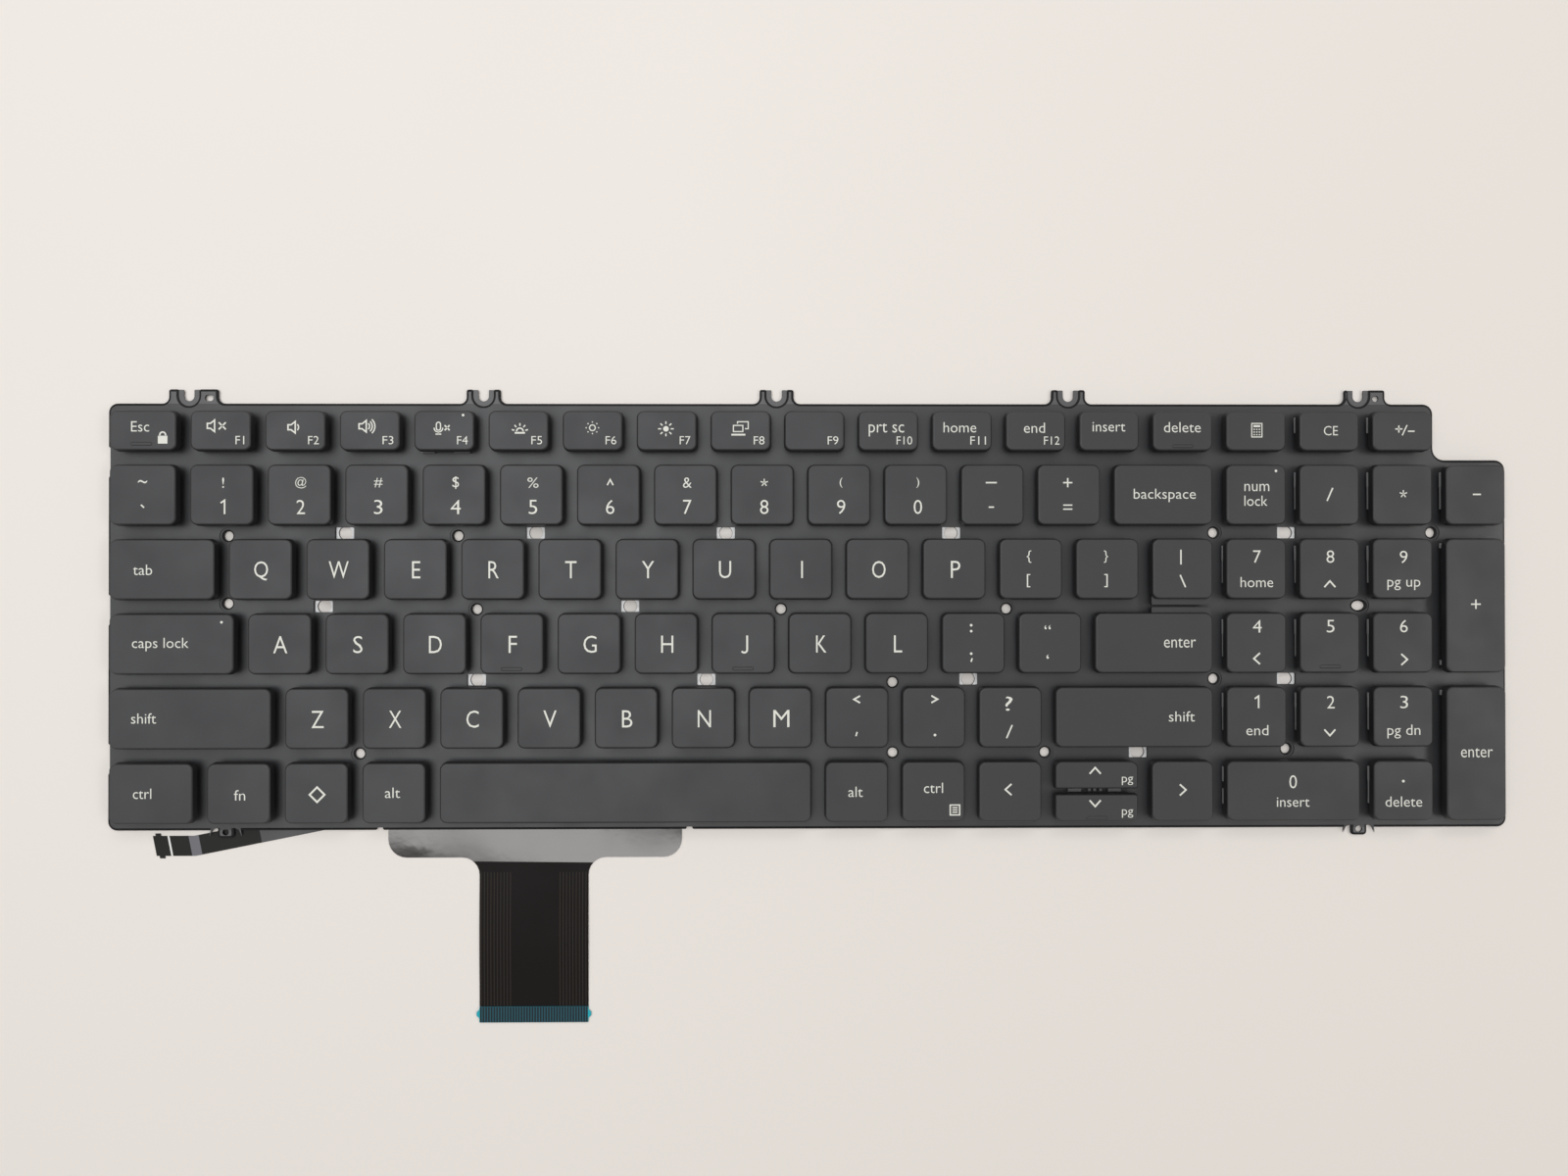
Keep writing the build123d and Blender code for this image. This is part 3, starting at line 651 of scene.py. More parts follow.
# Tail stiffener: a blue backing film on the end of the ribbon that lets it slide into its connector.
# Laminated polyester with a small ear on each side, under a row of printed carbon contacts.
STIFFENER_EAR, STIFFENER_EAR_ROOT, STIFFENER_EAR_TIP, STIFFENER_EAR_PLACE = 0.7, 2.1, 0.9, 2.1
STIFFENER_CORNER, STIFFENER_TIP_CORNER, STIFFENER_EDGE = 0.2, 0.25, 0.12
CONTACT_COUNT, CONTACT_WIDTH, CONTACT_HEIGHT, CONTACT_INSET = 40, 0.40, 0.03, 0.1
stiffener_low, stiffener_high = node_box("tail_stiffener")

stiffener_film = grained(
    "stiffener_film", (0.012, 0.075, 0.105), (0.022, 0.115, 0.150), (0.35, 0.5), 1500.0, specular=0.15,
)
stiffener_blue = grained(
    "stiffener_blue", (0.004, 0.300, 0.380), (0.040, 0.430, 0.500), (0.3, 0.45), 900.0, specular=0.15,
)
carbon = grained(
    "carbon", (0.008, 0.013, 0.016), (0.016, 0.023, 0.027), (0.4, 0.55), 3000.0, specular=0.15,
)

bm = bmesh.new()


def stiffener_ear(side):
    """One ear of the stiffener, a low trapezium, from the front to the rear."""
    edge, out = ribbon_middle + side * half_ribbon, ribbon_middle + side * (half_ribbon + STIFFENER_EAR)
    middle, root, tip = tail_end + STIFFENER_EAR_PLACE, STIFFENER_EAR_ROOT / 2, STIFFENER_EAR_TIP / 2
    return [
        (edge, middle - root, STIFFENER_CORNER), (out, middle - tip, STIFFENER_TIP_CORNER),
        (out, middle + tip, STIFFENER_TIP_CORNER), (edge, middle + root, STIFFENER_CORNER),
    ]


ribbon_left, ribbon_right = ribbon_middle - half_ribbon, ribbon_middle + half_ribbon
outline(bm, [
    (ribbon_left, tail_end, STIFFENER_CORNER), *stiffener_ear(-1),
    (ribbon_left, ribbon_flat, STIFFENER_CORNER), (ribbon_right, ribbon_flat, STIFFENER_CORNER),
    *stiffener_ear(1)[::-1],
    (ribbon_right, tail_end, STIFFENER_CORNER),
])
fill(bm)
for edge in (ribbon_left + STIFFENER_EDGE, ribbon_right - STIFFENER_EDGE):
    cut(bm, (edge, 0, 0), (1, 0, 0))
thicken(bm, stiffener_low.z, stiffener_high.z)
for face in bm.faces:
    out = abs(face.calc_center_median().x - ribbon_middle)
    face.material_index = 0 if out < half_ribbon - STIFFENER_EDGE else 1
piece("stiffener", bm, [stiffener_film, stiffener_blue], replaces=["tail_stiffener"])

bm = bmesh.new()
for n in range(CONTACT_COUNT):
    x = ribbon_middle + RIBBON_WIDTH * ((n + 0.5) / CONTACT_COUNT - 0.5)
    contact_length = STIFFENER_LENGTH - 2 * CONTACT_INSET
    box_outline(bm, x, tail_end + STIFFENER_LENGTH / 2, CONTACT_WIDTH, contact_length, 0)
fill(bm)
thicken(bm, stiffener_high.z, stiffener_high.z + CONTACT_HEIGHT)
piece("contacts", bm, [carbon])

# Rubber domes: a soft white dome under each cap that pushes it back up and presses the contacts together.
# Moulded silicone, round, with a foot ring glued to the switch film.
CAP_SKIRT = 0.189
DOME_RADIUS = 2.7
DOME_STEPS, DOME_ROOM = 16, 0.1
CAP_CEILING = 3.8
DOME_PROFILE = (
    (1.0, 0.0), (1.0, 0.05), (0.86, 0.08), (0.80, 0.45),
    (0.66, 0.78), (0.60, 0.82), (0.58, 0.985), (0.0, 0.985),
)
LEDGE_WIDTH, LEDGE_DEPTH, LEDGE_HEIGHT = 14.65, 1.5, 0.8
LEDGES = {"backslash": -1, "enter": 1}
LINK_LENGTH, LINK_BAR, LINK_ROOM, SHORT_LINK_ROOM, CAP_WALL = 10.6, 0.9, 0.25, 0.3, 0.8
LINK_THICKNESS, LINK_PLAY = 0.7, 0.05
Key = namedtuple("Key", "name x y width depth")


def key_at(name, low, high):
    """A key from the box of its cap's foot, less the ledge that two caps have in front (-1) or behind (1)."""
    ledge, side = LEDGE_DEPTH - CAP_SKIRT, LEDGES.get(name, 0)
    front = low.y + ledge * (side < 0)
    rear = high.y - ledge * (side > 0)
    width, depth = high.x - low.x - 2 * CAP_SKIRT, rear - front - 2 * CAP_SKIRT
    return Key(name, (low.x + high.x) / 2, (front + rear) / 2, width, depth)


def solids_of(node):
    """Boxes of the separate solids in a CAD node, rear row first and each row from left to right."""
    bm = bmesh.new()
    bm.from_mesh(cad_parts[node].data)
    bmesh.ops.remove_doubles(bm, verts=bm.verts[:], dist=1e-6)
    waiting, boxes = set(bm.verts), []
    while waiting:
        found, spread_from = [], [waiting.pop()]
        while spread_from:
            vert = spread_from.pop()
            found.append(vert.co / MM)
            near = {edge.other_vert(vert) for edge in vert.link_edges} & waiting
            waiting -= near
            spread_from += near
        boxes.append([Vector(limit(axis) for axis in zip(*found)) for limit in (min, max)])
    bm.free()
    return sorted(boxes, key=lambda corners: (-round(corners[1].y), corners[0].x))


UPPER_NAMES = [
    "esc", *(f"f{n}" for n in range(1, 13)), "insert", "delete", "calculator", "clear", "sign",
    "backquote", *"1234567890", "minus", "equals", "backspace",
]
PAD_NAMES = [
    "num_lock", "divide", "times", "subtract", "pad_7", "pad_8", "pad_9", "add", "pad_4", "pad_5", "pad_6",
    "pad_1", "pad_2", "pad_3", "pad_enter", "pad_0", "decimal",
]
moving_keys = [key_at(node[4:], *node_box(node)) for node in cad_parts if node.startswith("key_")]
upper_keys = [key_at(name, *corners) for name, corners in zip(UPPER_NAMES, solids_of("upper_row_keys"))]
pad_keys = [key_at(name, *corners) for name, corners in zip(PAD_NAMES, solids_of("numeric_pad_keys"))]


def link_length(key):
    """Length of a key's links, as much as its cap's hollow takes."""
    return min(LINK_LENGTH, key.depth - 2 * (CAP_WALL + LINK_ROOM) - SHORT_LINK_ROOM)


def link_tilt(key):
    return asin((CAP_CEILING - FILM_TOP - 2 * LINK_PLAY - LINK_THICKNESS) / link_length(key))


def dome(bm, key):
    radius = min(DOME_RADIUS, link_length(key) / 2 * cos(link_tilt(key)) - LINK_BAR - DOME_ROOM)
    height = CAP_CEILING - FILM_TOP
    profile = [(share * radius, FILM_TOP + rise * height) for share, rise in DOME_PROFILE]
    lathe(bm, profile, key.x, key.y, DOME_STEPS)


rubber = grained("rubber", (0.62, 0.62, 0.59), (0.76, 0.76, 0.73), (0.45, 0.6), 900.0, 0.00002)


def squashed(made):
    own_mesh(made)


def finish_dome(bm):
    bmesh.ops.remove_doubles(bm, verts=bm.verts[:], dist=0.0005)
    outward(bm)


for key in moving_keys:
    bm = bmesh.new()
    dome(bm, key)
    finish_dome(bm)
    squashed(piece(f"dome_{key.name}", bm, [rubber], replaces=["rubber_domes"]))
bm = bmesh.new()
for key in upper_keys + pad_keys:
    dome(bm, key)
finish_dome(bm)
piece("domes_still", bm, [rubber], replaces=["rubber_domes"])

# Scissor links: an outer and an inner frame under each cap, pinned where they cross, that keep it level.
# Moulded grey plastic; their lower bars turn in hooks on the plate and their upper ends slide in the cap.
# Small lugs on the links show past the feet of some caps as pale slivers; those in front of a cap are darker,
# as painted shade.
LINK_WIDTH = 12.2
PIN_RADIUS, PIN_LENGTH, PIN_INSET, PIN_STEPS = 0.28, 0.5, 0.2, 8
LINK_CORNER, LINK_INNER_CORNER = 0.3, 0.2
LUG_Z, FRONT_LUG_Z, LUG_ROOT, LUG_OUT, LUG_CORNER = (2.25, 2.88), (1.4, 1.95), 1.9, 0.06, 0.04
TALL_LUGS = "divide times subtract pad_7 pad_8 pad_9 pad_4 pad_5 pad_6 pad_1 pad_2 pad_3 decimal".split()
SIDE_LUGS = {name: ((1.6, 5.2, LUG_OUT), (5.2, 10.7, -0.04)) for name in TALL_LUGS}
SIDE_LUGS["pad_0"] = ((1.6, 5.2, LUG_OUT), (7.0, 10.7, 0.02))
SIDE_LUGS["clear"] = SIDE_LUGS["sign"] = ((1.2, 5.0, 0.02),)
SIDE_LUGS["add"] = ((1.0, 2.2, 0.05), (29.8, 31.0, 0.05))
SIDE_LUGS["pad_enter"] = ((1.0, 2.2, 0.05),)
FRONT_LUGS = {
    "f4": ((-6.5, -3.2, 0.12), (1.6, 5.4, 0.12)),
    "arrow_up": (
        (-6.3, -3.0, 1.08), (3.65, 6.8, 1.08), (-1.3, -0.6, 0.95), (0.0, 0.7, 0.95), (1.5, 2.1, 0.95),
    ),
}

link_plastic = grained(
    "link_plastic", (0.20, 0.20, 0.205), (0.32, 0.32, 0.33), (0.35, 0.5), 1600.0,
)
# Painted shade: a darker copy of the link plastic for the front lugs, which sit in the shade of the gap in
# front of their caps.
shaded_lug_plastic = grained(
    "shaded_lug_plastic", (0.070, 0.070, 0.072), (0.120, 0.120, 0.123), (0.35, 0.5), 1600.0,
)


def merge(bm, other):
    """Adds a finished drawing to another one."""
    made = bpy.data.meshes.new("merged")
    other.to_mesh(made)
    other.free()
    bm.from_mesh(made)
    bpy.data.meshes.remove(made)


def link(bm, key, width, direction):
    """One frame: two arms and the bar at their lower end; direction 1 rises to the rear, -1 to the front."""
    arm = bmesh.new()
    length, inner = link_length(key), width / 2 - LINK_BAR
    low, high = -direction * length / 2, direction * length / 2
    bar = low + direction * LINK_BAR
    half = width / 2
    ends = [(-half, low), (half, low), (half, high), (inner, high)]
    outline(arm, [
        *((x, y, LINK_CORNER) for x, y in ends), (inner, bar, LINK_INNER_CORNER),
        (-inner, bar, LINK_INNER_CORNER), (-inner, high, LINK_CORNER), (-half, high, LINK_CORNER),
    ])
    fill(arm)
    thicken(arm, 0, LINK_THICKNESS)
    for side in (-1, 1):
        pin_x, pin_y = side * (inner - PIN_INSET), high - direction * PIN_LENGTH
        pin = Matrix.Translation((pin_x, pin_y, LINK_THICKNESS / 2))
        bmesh.ops.create_cone(
            arm, cap_ends=True, segments=PIN_STEPS, radius1=PIN_RADIUS, radius2=PIN_RADIUS, depth=PIN_LENGTH,
            matrix=pin @ Matrix.Rotation(pi / 2, 4, "Y"),
        )
    tilt = link_tilt(key)
    middle = FILM_TOP + LINK_PLAY + length / 2 * sin(tilt)
    place = Matrix.Translation((key.x, key.y, middle)) @ Matrix.Rotation(direction * tilt, 4, "X")
    bmesh.ops.transform(arm, matrix=place, verts=arm.verts[:])
    merge(bm, arm)


def lug(bm, x, y, width, depth, heights=LUG_Z, finish=0):
    made = bmesh.new()
    box_outline(made, x, y, width, depth, LUG_CORNER)
    fill(made)
    thicken(made, *heights)
    for face in made.faces:
        face.material_index = finish
    merge(bm, made)


def scissor(bm, key):
    """Both frames of a key, with the lugs that show beside its cap."""
    link(bm, key, LINK_WIDTH, 1)
    link(bm, key, LINK_WIDTH - 2 * (LINK_BAR + LINK_ROOM), -1)
    side, rear = key.x - key.width / 2 - CAP_SKIRT, key.y + key.depth / 2
    for start, end, out in SIDE_LUGS.get(key.name, ()):
        lug(bm, side + (LUG_ROOT - out) / 2, rear - (start + end) / 2, LUG_ROOT + out, end - start)
    front = key.y - key.depth / 2 - CAP_SKIRT
    # Front lugs take the darker copy of the plastic, painted shade of the gap.
    for start, end, out in FRONT_LUGS.get(key.name, ()):
        y = front + (LUG_ROOT - out) / 2
        lug(bm, key.x + (start + end) / 2, y, end - start, LUG_ROOT + out, FRONT_LUG_Z, finish=1)


for key in moving_keys:
    bm = bmesh.new()
    scissor(bm, key)
    frames = ["outer_links", "inner_links"]
    made = piece(f"links_{key.name}", bm, [link_plastic, shaded_lug_plastic], replaces=frames)
    squashed(made)
bm = bmesh.new()
for key in upper_keys + pad_keys:
    scissor(bm, key)
piece("links_still", bm, [link_plastic, shaded_lug_plastic])

# Key caps: low caps with drafted sides and rounded edges, open underneath, clipped to their scissor links.
# Injection moulded in dark plastic with a fine spark-eroded grain and painted; the colour is darkened on the
# walls and rounded edges as painted shade, with a thin painted highlight near the top's edge. The find keys
# have a raised bar, and two caps have a ledge where they meet.
CAP_BASE, CAP_TOP = 2.9, 4.7
CAP_CORNER, HALF_KEY_CORNER = 1.75, 0.6
HOLLOW_CORNER, HOLLOW_SLOPE, HOLLOW_LIFT = 0.8, 0.03, 0.02
CAP_EDGE, CAP_EDGE_STEPS = 0.5, 4
BAR_SIZE, BAR_CORNER, BAR_HEIGHT, BAR_SLOPE, BAR_SINK = (5.3, 0.95), 0.465, 0.14, 0.2, 0.02
BARS = {
    "f": (0, -6.1), "j": (0, -6.1), "pad_5": (0, -5.8),
    "esc": (-0.2, -3.3), "delete": (0, -3.8), "arrow_down": (0, -2.3),
}
HALF_KEYS = {
    "arrow_up": (HALF_KEY_CORNER, HALF_KEY_CORNER, CAP_CORNER, CAP_CORNER),
    "arrow_down": (CAP_CORNER, CAP_CORNER, HALF_KEY_CORNER, HALF_KEY_CORNER),
}
LEDGE_SLOPE, LEDGE_CORNER = 0.06, 0.3
ledge_x = next(key.x for key in moving_keys if key.name == "backslash")


def drafted(width, depth, radius, slope, height):
    """A closed block about the origin whose walls lean in by the slope, and its roof."""
    block = bmesh.new()
    box_outline(block, 0, 0, width, depth, radius)
    foot = bmesh.ops.contextual_create(block, geom=block.edges[:])["faces"][0]
    made = bmesh.ops.extrude_face_region(block, geom=[foot], use_keep_orig=True)["geom"]
    roof = next(item for item in made if isinstance(item, bmesh.types.BMFace))
    bmesh.ops.translate(block, verts=roof.verts[:], vec=(0, 0, height))
    shrink = (1 - 2 * slope / width, 1 - 2 * slope / depth, 1)
    bmesh.ops.scale(block, verts=roof.verts[:], vec=shrink)
    outward(block)
    return block, roof


def cap(bm, key):
    """A cap on its foot outline: drafted sides, rounded top edge, and a hollow underside."""
    corners = HALF_KEYS.get(key.name, CAP_CORNER)
    wide, deep = key.width + 2 * CAP_SKIRT, key.depth + 2 * CAP_SKIRT
    shell, roof = drafted(wide, deep, corners, CAP_SKIRT, CAP_TOP - CAP_BASE)
    bmesh.ops.bevel(
        shell, geom=roof.edges[:], offset=CAP_EDGE, offset_type="OFFSET", segments=CAP_EDGE_STEPS,
        profile=0.5, affect="EDGES", material=-1,
    )
    inner_wide, inner_deep = key.width - 2 * CAP_WALL, key.depth - 2 * CAP_WALL
    inner_rise = CAP_CEILING - CAP_BASE - HOLLOW_LIFT
    hollow, _ = drafted(inner_wide, inner_deep, HOLLOW_CORNER, HOLLOW_SLOPE, inner_rise)
    shift(hollow, 0, 0, HOLLOW_LIFT)
    for block in (shell, hollow):
        foot = min(block.faces, key=lambda face: face.calc_center_median().z)
        bmesh.ops.delete(block, geom=[foot], context="FACES_ONLY")
    merge(shell, hollow)
    bmesh.ops.bridge_loops(shell, edges=[edge for edge in shell.edges if edge.is_boundary])
    outward(shell)
    if key.name in BARS:
        bar, _ = drafted(*BAR_SIZE, BAR_CORNER, BAR_SLOPE, BAR_HEIGHT + BAR_SINK)
        shift(bar, *BARS[key.name], CAP_TOP - CAP_BASE - BAR_SINK)
        merge(shell, bar)
    if key.name in LEDGES:
        ledge, _ = drafted(LEDGE_WIDTH, LEDGE_DEPTH + CAP_WALL, LEDGE_CORNER, LEDGE_SLOPE, LEDGE_HEIGHT)
        out = LEDGES[key.name] * (key.depth + LEDGE_DEPTH - CAP_WALL) / 2
        shift(ledge, ledge_x - key.x, out, 0)
        merge(shell, ledge)
    shift(shell, key.x, key.y, CAP_BASE)
    merge(bm, shell)


# Painted shade and highlight: the cap colour is multiplied by a tone from the slope of its surface, dark on
# walls and bevels and light in a thin band where the top rounds over.
EDGE_TONES = ((0.0, 0.42), (0.6, 0.35), (0.91, 0.21), (0.95, 0.56), (0.975, 0.98), (0.997, 0.7))
cap_plastic = grained(
    "cap_plastic", (0.019, 0.020, 0.0235), (0.030, 0.0315, 0.036), (0.46, 0.58), 3600.0, 0.00002,
)
tree = cap_plastic.node_tree
cap_colour = tree.nodes["Principled BSDF"].inputs["Base Color"]
# The painted shade and highlight follow the height of the surface normal.
facing = node(tree, "NewGeometry").outputs["Normal"]
slope = node(tree, "SeparateXYZ", wires={"Vector": facing}).outputs["Z"]
slope_shade = node(tree, "Mix")
slope_shade.data_type, slope_shade.blend_type = "RGBA", "MULTIPLY"
slope_shade.inputs["Factor"].default_value = 1.0
tree.links.new(cap_colour.links[0].from_socket, slope_shade.inputs["A"])
tree.links.new(ramp(tree, slope, [(place, (tone,) * 3) for place, tone in EDGE_TONES]), slope_shade.inputs["B"])
tree.links.new(slope_shade.outputs["Result"], cap_colour)


def cap_piece(name, keys, body, node):
    bm = bmesh.new()
    for key in keys:
        cap(bm, key)
    made = piece(name, bm, [cap_plastic], body=body, replaces=[node], crease=30)
    even = made.modifiers.new("even_faces", "WEIGHTED_NORMAL")
    even.keep_sharp = True


for key in moving_keys:
    cap_piece(f"cap_{key.name}", [key], f"key_{key.name}", f"key_{key.name}")
cap_piece("caps_upper_rows", upper_keys, "chassis", "upper_row_keys")
cap_piece("caps_number_pad", pad_keys, "chassis", "numeric_pad_keys")

# Legends: letters, words and signs on the caps, cream coloured, that the light guide makes glow.
# The caps are painted and the paint is cut away by laser; here each legend is a hair-thin inlay on its cap.
# Each is a list of drawings, placed from the middle of its cap.
LINE = 0.36
LEGEND_HEIGHT = 0.015
LED_RADIUS = 0.32
LETTER_HEIGHT, LETTER_PLACE = 4.15, (0.3, -0.12)
LETTER_WIDTHS = {
    "q": 3.35, "w": 4.8, "e": 2.0, "r": 2.5, "t": 2.75, "y": 2.95, "u": 2.95, "i": 0.42, "o": 3.3, "p": 2.3,
    "a": 3.4, "s": 2.25, "d": 3.1, "f": 2.0, "g": 3.2, "h": 2.95, "j": 1.4, "k": 2.5, "l": 2.0,
    "z": 2.95, "x": 3.0, "c": 3.0, "v": 3.2, "b": 2.5, "n": 3.2, "m": 3.9,
}
SIGN_PLACE, DIGIT_PLACE, DIGIT_HEIGHT = (0.48, 2.9), (0.48, -3.0), 3.45
THINNER = -0.006
WORD_HEIGHT = 2.5


def fit(bm, key, text, x, y, width, depth):
    """Lettering drawn to fill a box about a point."""
    curve = bpy.data.curves.new("lettering", "FONT")
    curve.body, curve.resolution_u, curve.offset = text, 3, THINNER
    lettering = bpy.data.objects.new("lettering", curve)
    mesh = bpy.data.meshes.new_from_object(lettering)
    across, up = ([vert.co[axis] for vert in mesh.vertices] for axis in range(2))
    to_origin = Matrix.Translation((-(min(across) + max(across)) / 2, -(min(up) + max(up)) / 2, 0))
    to_size = Matrix.Diagonal((width / (max(across) - min(across)), depth / (max(up) - min(up)), 1, 1))
    mesh.transform(Matrix.Translation((key.x + x, key.y + y, 0)) @ to_size @ to_origin)
    bm.from_mesh(mesh)
    bpy.data.meshes.remove(mesh)
    bpy.data.objects.remove(lettering)
    bpy.data.curves.remove(curve)


def stroke(bm, key, points, x, y, width=LINE, closed=False):
    """A line of even width through the points, with mitred joints."""
    path = [Vector((key.x + x + px, key.y + y + py)) for px, py in points]
    runs = [(after - before).normalized() for before, after in zip(path, path[1:] + path[:1])]
    rows = []
    for n, point in enumerate(path):
        into = runs[n - 1] if closed or n else runs[n]
        out_of = runs[n] if closed or n < len(path) - 1 else runs[n - 1]
        along = (into + out_of).normalized()
        across = Vector((-along.y, along.x))
        reach = width / 2 / max(0.35, across.dot(Vector((-out_of.y, out_of.x))))
        rows.append([bm.verts.new((*(point + side * reach * across), 0)) for side in (1, -1)])
    for (a, b), (c, d) in zip(rows, rows[1:] + (rows[:1] if closed else [])):
        bm.faces.new((a, b, d, c))


def dot(bm, key, x, y, radius):
    made = bmesh.ops.create_circle(bm, cap_ends=True, segments=16, radius=radius)["verts"]
    bmesh.ops.translate(bm, verts=made, vec=(key.x + x, key.y + y, 0))


def block(bm, key, x, y, width, depth):
    made = bmesh.ops.create_grid(bm, x_segments=1, y_segments=1, size=0.5)["verts"]
    bmesh.ops.scale(bm, verts=made, vec=(width, depth, 1))
    bmesh.ops.translate(bm, verts=made, vec=(key.x + x, key.y + y, 0))


def arc(x, y, radius, start, end, steps=10):
    turns = [radians(start + (end - start) * n / steps) for n in range(steps + 1)]
    return [(x + radius * cos(turn), y + radius * sin(turn)) for turn in turns]


def chevron(bm, key, x, y, turn, length=1.5, width=2.7):
    """An open arrow head that points to the right before it is turned."""
    points = [(-length / 2, width / 2), (length / 2, 0), (-length / 2, -width / 2)]
    c, s = round(cos(radians(turn))), round(sin(radians(turn)))
    stroke(bm, key, [(px * c - py * s, px * s + py * c) for px, py in points], x, y, 0.4)


def one(bm, key, x, y, height):
    """The digit one with its flag."""
    top = height / 2
    stroke(bm, key, [(-0.6, top - 0.75), (0.35, top - 0.1), (0.35, -top)], x, y, 0.38)


def hook(bm, key, x, y, width, height):
    """The letter J, without a part below the line."""
    radius = width / 2
    stroke(bm, key, [(radius, height / 2)] + arc(0, radius - height / 2, radius, 0, -150), x, y, 0.45)


def drawing(bm, key, strokes, x, y):
    """A sign of several lines: points, width and, for a closed line, True."""
    for points, width, *closed in strokes:
        stroke(bm, key, points, x, y, width, *closed)


def spokes(inner, across, up, turns, width, y=0.0):
    """Short lines that point away from a middle."""
    ways = [(cos(radians(turn)), sin(radians(turn))) for turn in turns]
    return [([(inner * c, inner * s + y), (across * c, up * s + y)], width) for c, s in ways]


def speaker(waves):
    horn = [(-2.1, 0.6), (-1.35, 0.6), (-0.35, 1.4), (-0.35, -1.4), (-1.35, -0.6), (-2.1, -0.6)]
    return [(horn, 0.34, True)] + [(arc(-0.5, 0, 0.95 + 0.65 * n, -48, 48), 0.3) for n in range(waves)]


def cross(size):
    return [([(-size, -size), (size, size)], 0.36), ([(-size, size), (size, -size)], 0.36)]


MICROPHONE = [
    (arc(0, 0.85, 0.5, 0, 180) + arc(0, -0.1, 0.5, 180, 360), 0.28, True), (arc(0, 0, 1.05, 180, 360), 0.28),
    ([(0, -1.0), (0, -1.55)], 0.28), ([(-0.7, -1.55), (0.7, -1.55)], 0.28),
]
GLOWING_BAR = [
    ([(-1.25, -1.1), (1.25, -1.1)], 0.42), (arc(0, -0.75, 0.8, 0, 180), 0.34),
    *spokes(1.35, 2.0, 2.0, (12, 50, 90, 130, 168), 0.32, -0.75),
]
SUN_RING = [(arc(0, 0, 0.7, 0, 345, 23), 0.26, True)]
SUN_RAYS = spokes(1.15, 1.9, 1.8, range(0, 360, 45), 0.3)
STAR = spokes(0, 0.95, 0.95, range(90, 450, 72), 0.26)
SCREENS = [
    ([(-1.6, -0.7), (-1.6, 0.8), (0.7, 0.8), (0.7, -0.7)], 0.26, True), ([(-2.1, -1.45), (1.3, -1.45)], 0.42),
    ([(-0.6, 1.2), (-0.6, 1.7), (2.0, 1.7), (2.0, 0.0), (1.2, 0.0)], 0.26),
]
MENU = [
    ([(-1.15, -1.2), (1.15, -1.2), (1.15, 1.2), (-1.15, 1.2)], 0.32, True),
    *(([(-0.65, row), (0.65, row)], 0.28) for row in (0.55, 0, -0.55)),
]
DIAMOND = [([(-1.8, 0), (0, -1.8), (1.8, 0), (0, 1.8)], 0.45, True)]
PLUS_MINUS = [
    ([(-2.35, 0.3), (-0.6, 0.3)], 0.32), ([(-1.47, -0.57), (-1.47, 1.17)], 0.32),
    ([(-0.65, -1.25), (0.55, 1.25)], 0.3), ([(0.75, -0.25), (2.4, -0.25)], 0.32),
]


def padlock(bm, key, x, y):
    block(bm, key, x, y - 0.5, 2.3, 1.9)
    stroke(bm, key, [(0.7, 0.35)] + arc(0, 0.65, 0.7, 0, 180) + [(-0.7, 0.35)], x, y, 0.36)


def calculator(bm, key, x, y):
    stroke(bm, key, [(-1.25, -1.65), (1.25, -1.65), (1.25, 1.65), (-1.25, 1.65)], x, y, 0.24, closed=True)
    block(bm, key, x, y + 1.0, 1.7, 0.5)
    for column in (-0.66, 0, 0.66):
        for row in (0.2, -0.45, -1.1):
            block(bm, key, x + column, y + row, 0.34, 0.3)


legends = {
    letter: [(fit, letter.upper(), *LETTER_PLACE, width, LETTER_HEIGHT)]
    for letter, width in LETTER_WIDTHS.items()
}
legends["j"] = [(hook, *LETTER_PLACE, LETTER_WIDTHS["j"], LETTER_HEIGHT)]
legends["q"] = [(fit, "Q", LETTER_PLACE[0], LETTER_PLACE[1] - 0.25, LETTER_WIDTHS["q"], LETTER_HEIGHT + 0.5)]
NUMBER_SIGNS = {
    "1": ("!", 0.45, 2.5), "2": ("@", 2.7, 2.75), "3": ("#", 2.05, 2.3), "4": ("$", 1.6, 3.0),
    "5": ("%", 2.7, 2.5), "6": ("^", 1.5, 1.5), "7": ("&", 2.1, 2.5), "8": ("*", 1.55, 1.55),
    "9": ("(", 0.7, 2.5), "0": (")", 0.7, 2.5),
}
for digit, (text, width, depth) in NUMBER_SIGNS.items():
    digit_width = 2.45 if digit == "4" else 2.05
    drawn_digit = (fit, digit, *DIGIT_PLACE, digit_width, DIGIT_HEIGHT)
    legends[digit] = [(fit, text, *SIGN_PLACE, width, depth), drawn_digit]
legends["1"][1] = (one, *DIGIT_PLACE, DIGIT_HEIGHT)
legends["6"][0] = (stroke, [(-0.72, -0.6), (0, 0.75), (0.72, -0.6)], *SIGN_PLACE, 0.34)
legends["8"][0] = (drawing, STAR, *SIGN_PLACE)
legends["backquote"] = [(fit, "~", 0.15, 3.14, 2.2, 0.8), (stroke, [(-0.4, 0.35), (0.35, -0.35)], 0.16, -2.8)]
legends["minus"] = [
    (stroke, [(-1.35, 0), (1.35, 0)], -0.3, 2.92), (stroke, [(-0.65, 0), (0.65, 0)], -0.3, -3.05),
]
legends["equals"] = [(fit, "+", -0.33, 2.92, 2.25, 2.25), (fit, "=", -0.33, -3.05, 2.25, 1.3)]
legends["bracket_open"] = [(fit, "{", -0.48, 2.98, 1.1, 3.0), (fit, "[", -0.6, -2.87, 0.85, 3.2)]
legends["bracket_close"] = [(fit, "}", -0.38, 2.98, 1.0, 3.0), (fit, "]", -0.38, -2.87, 0.85, 3.2)]
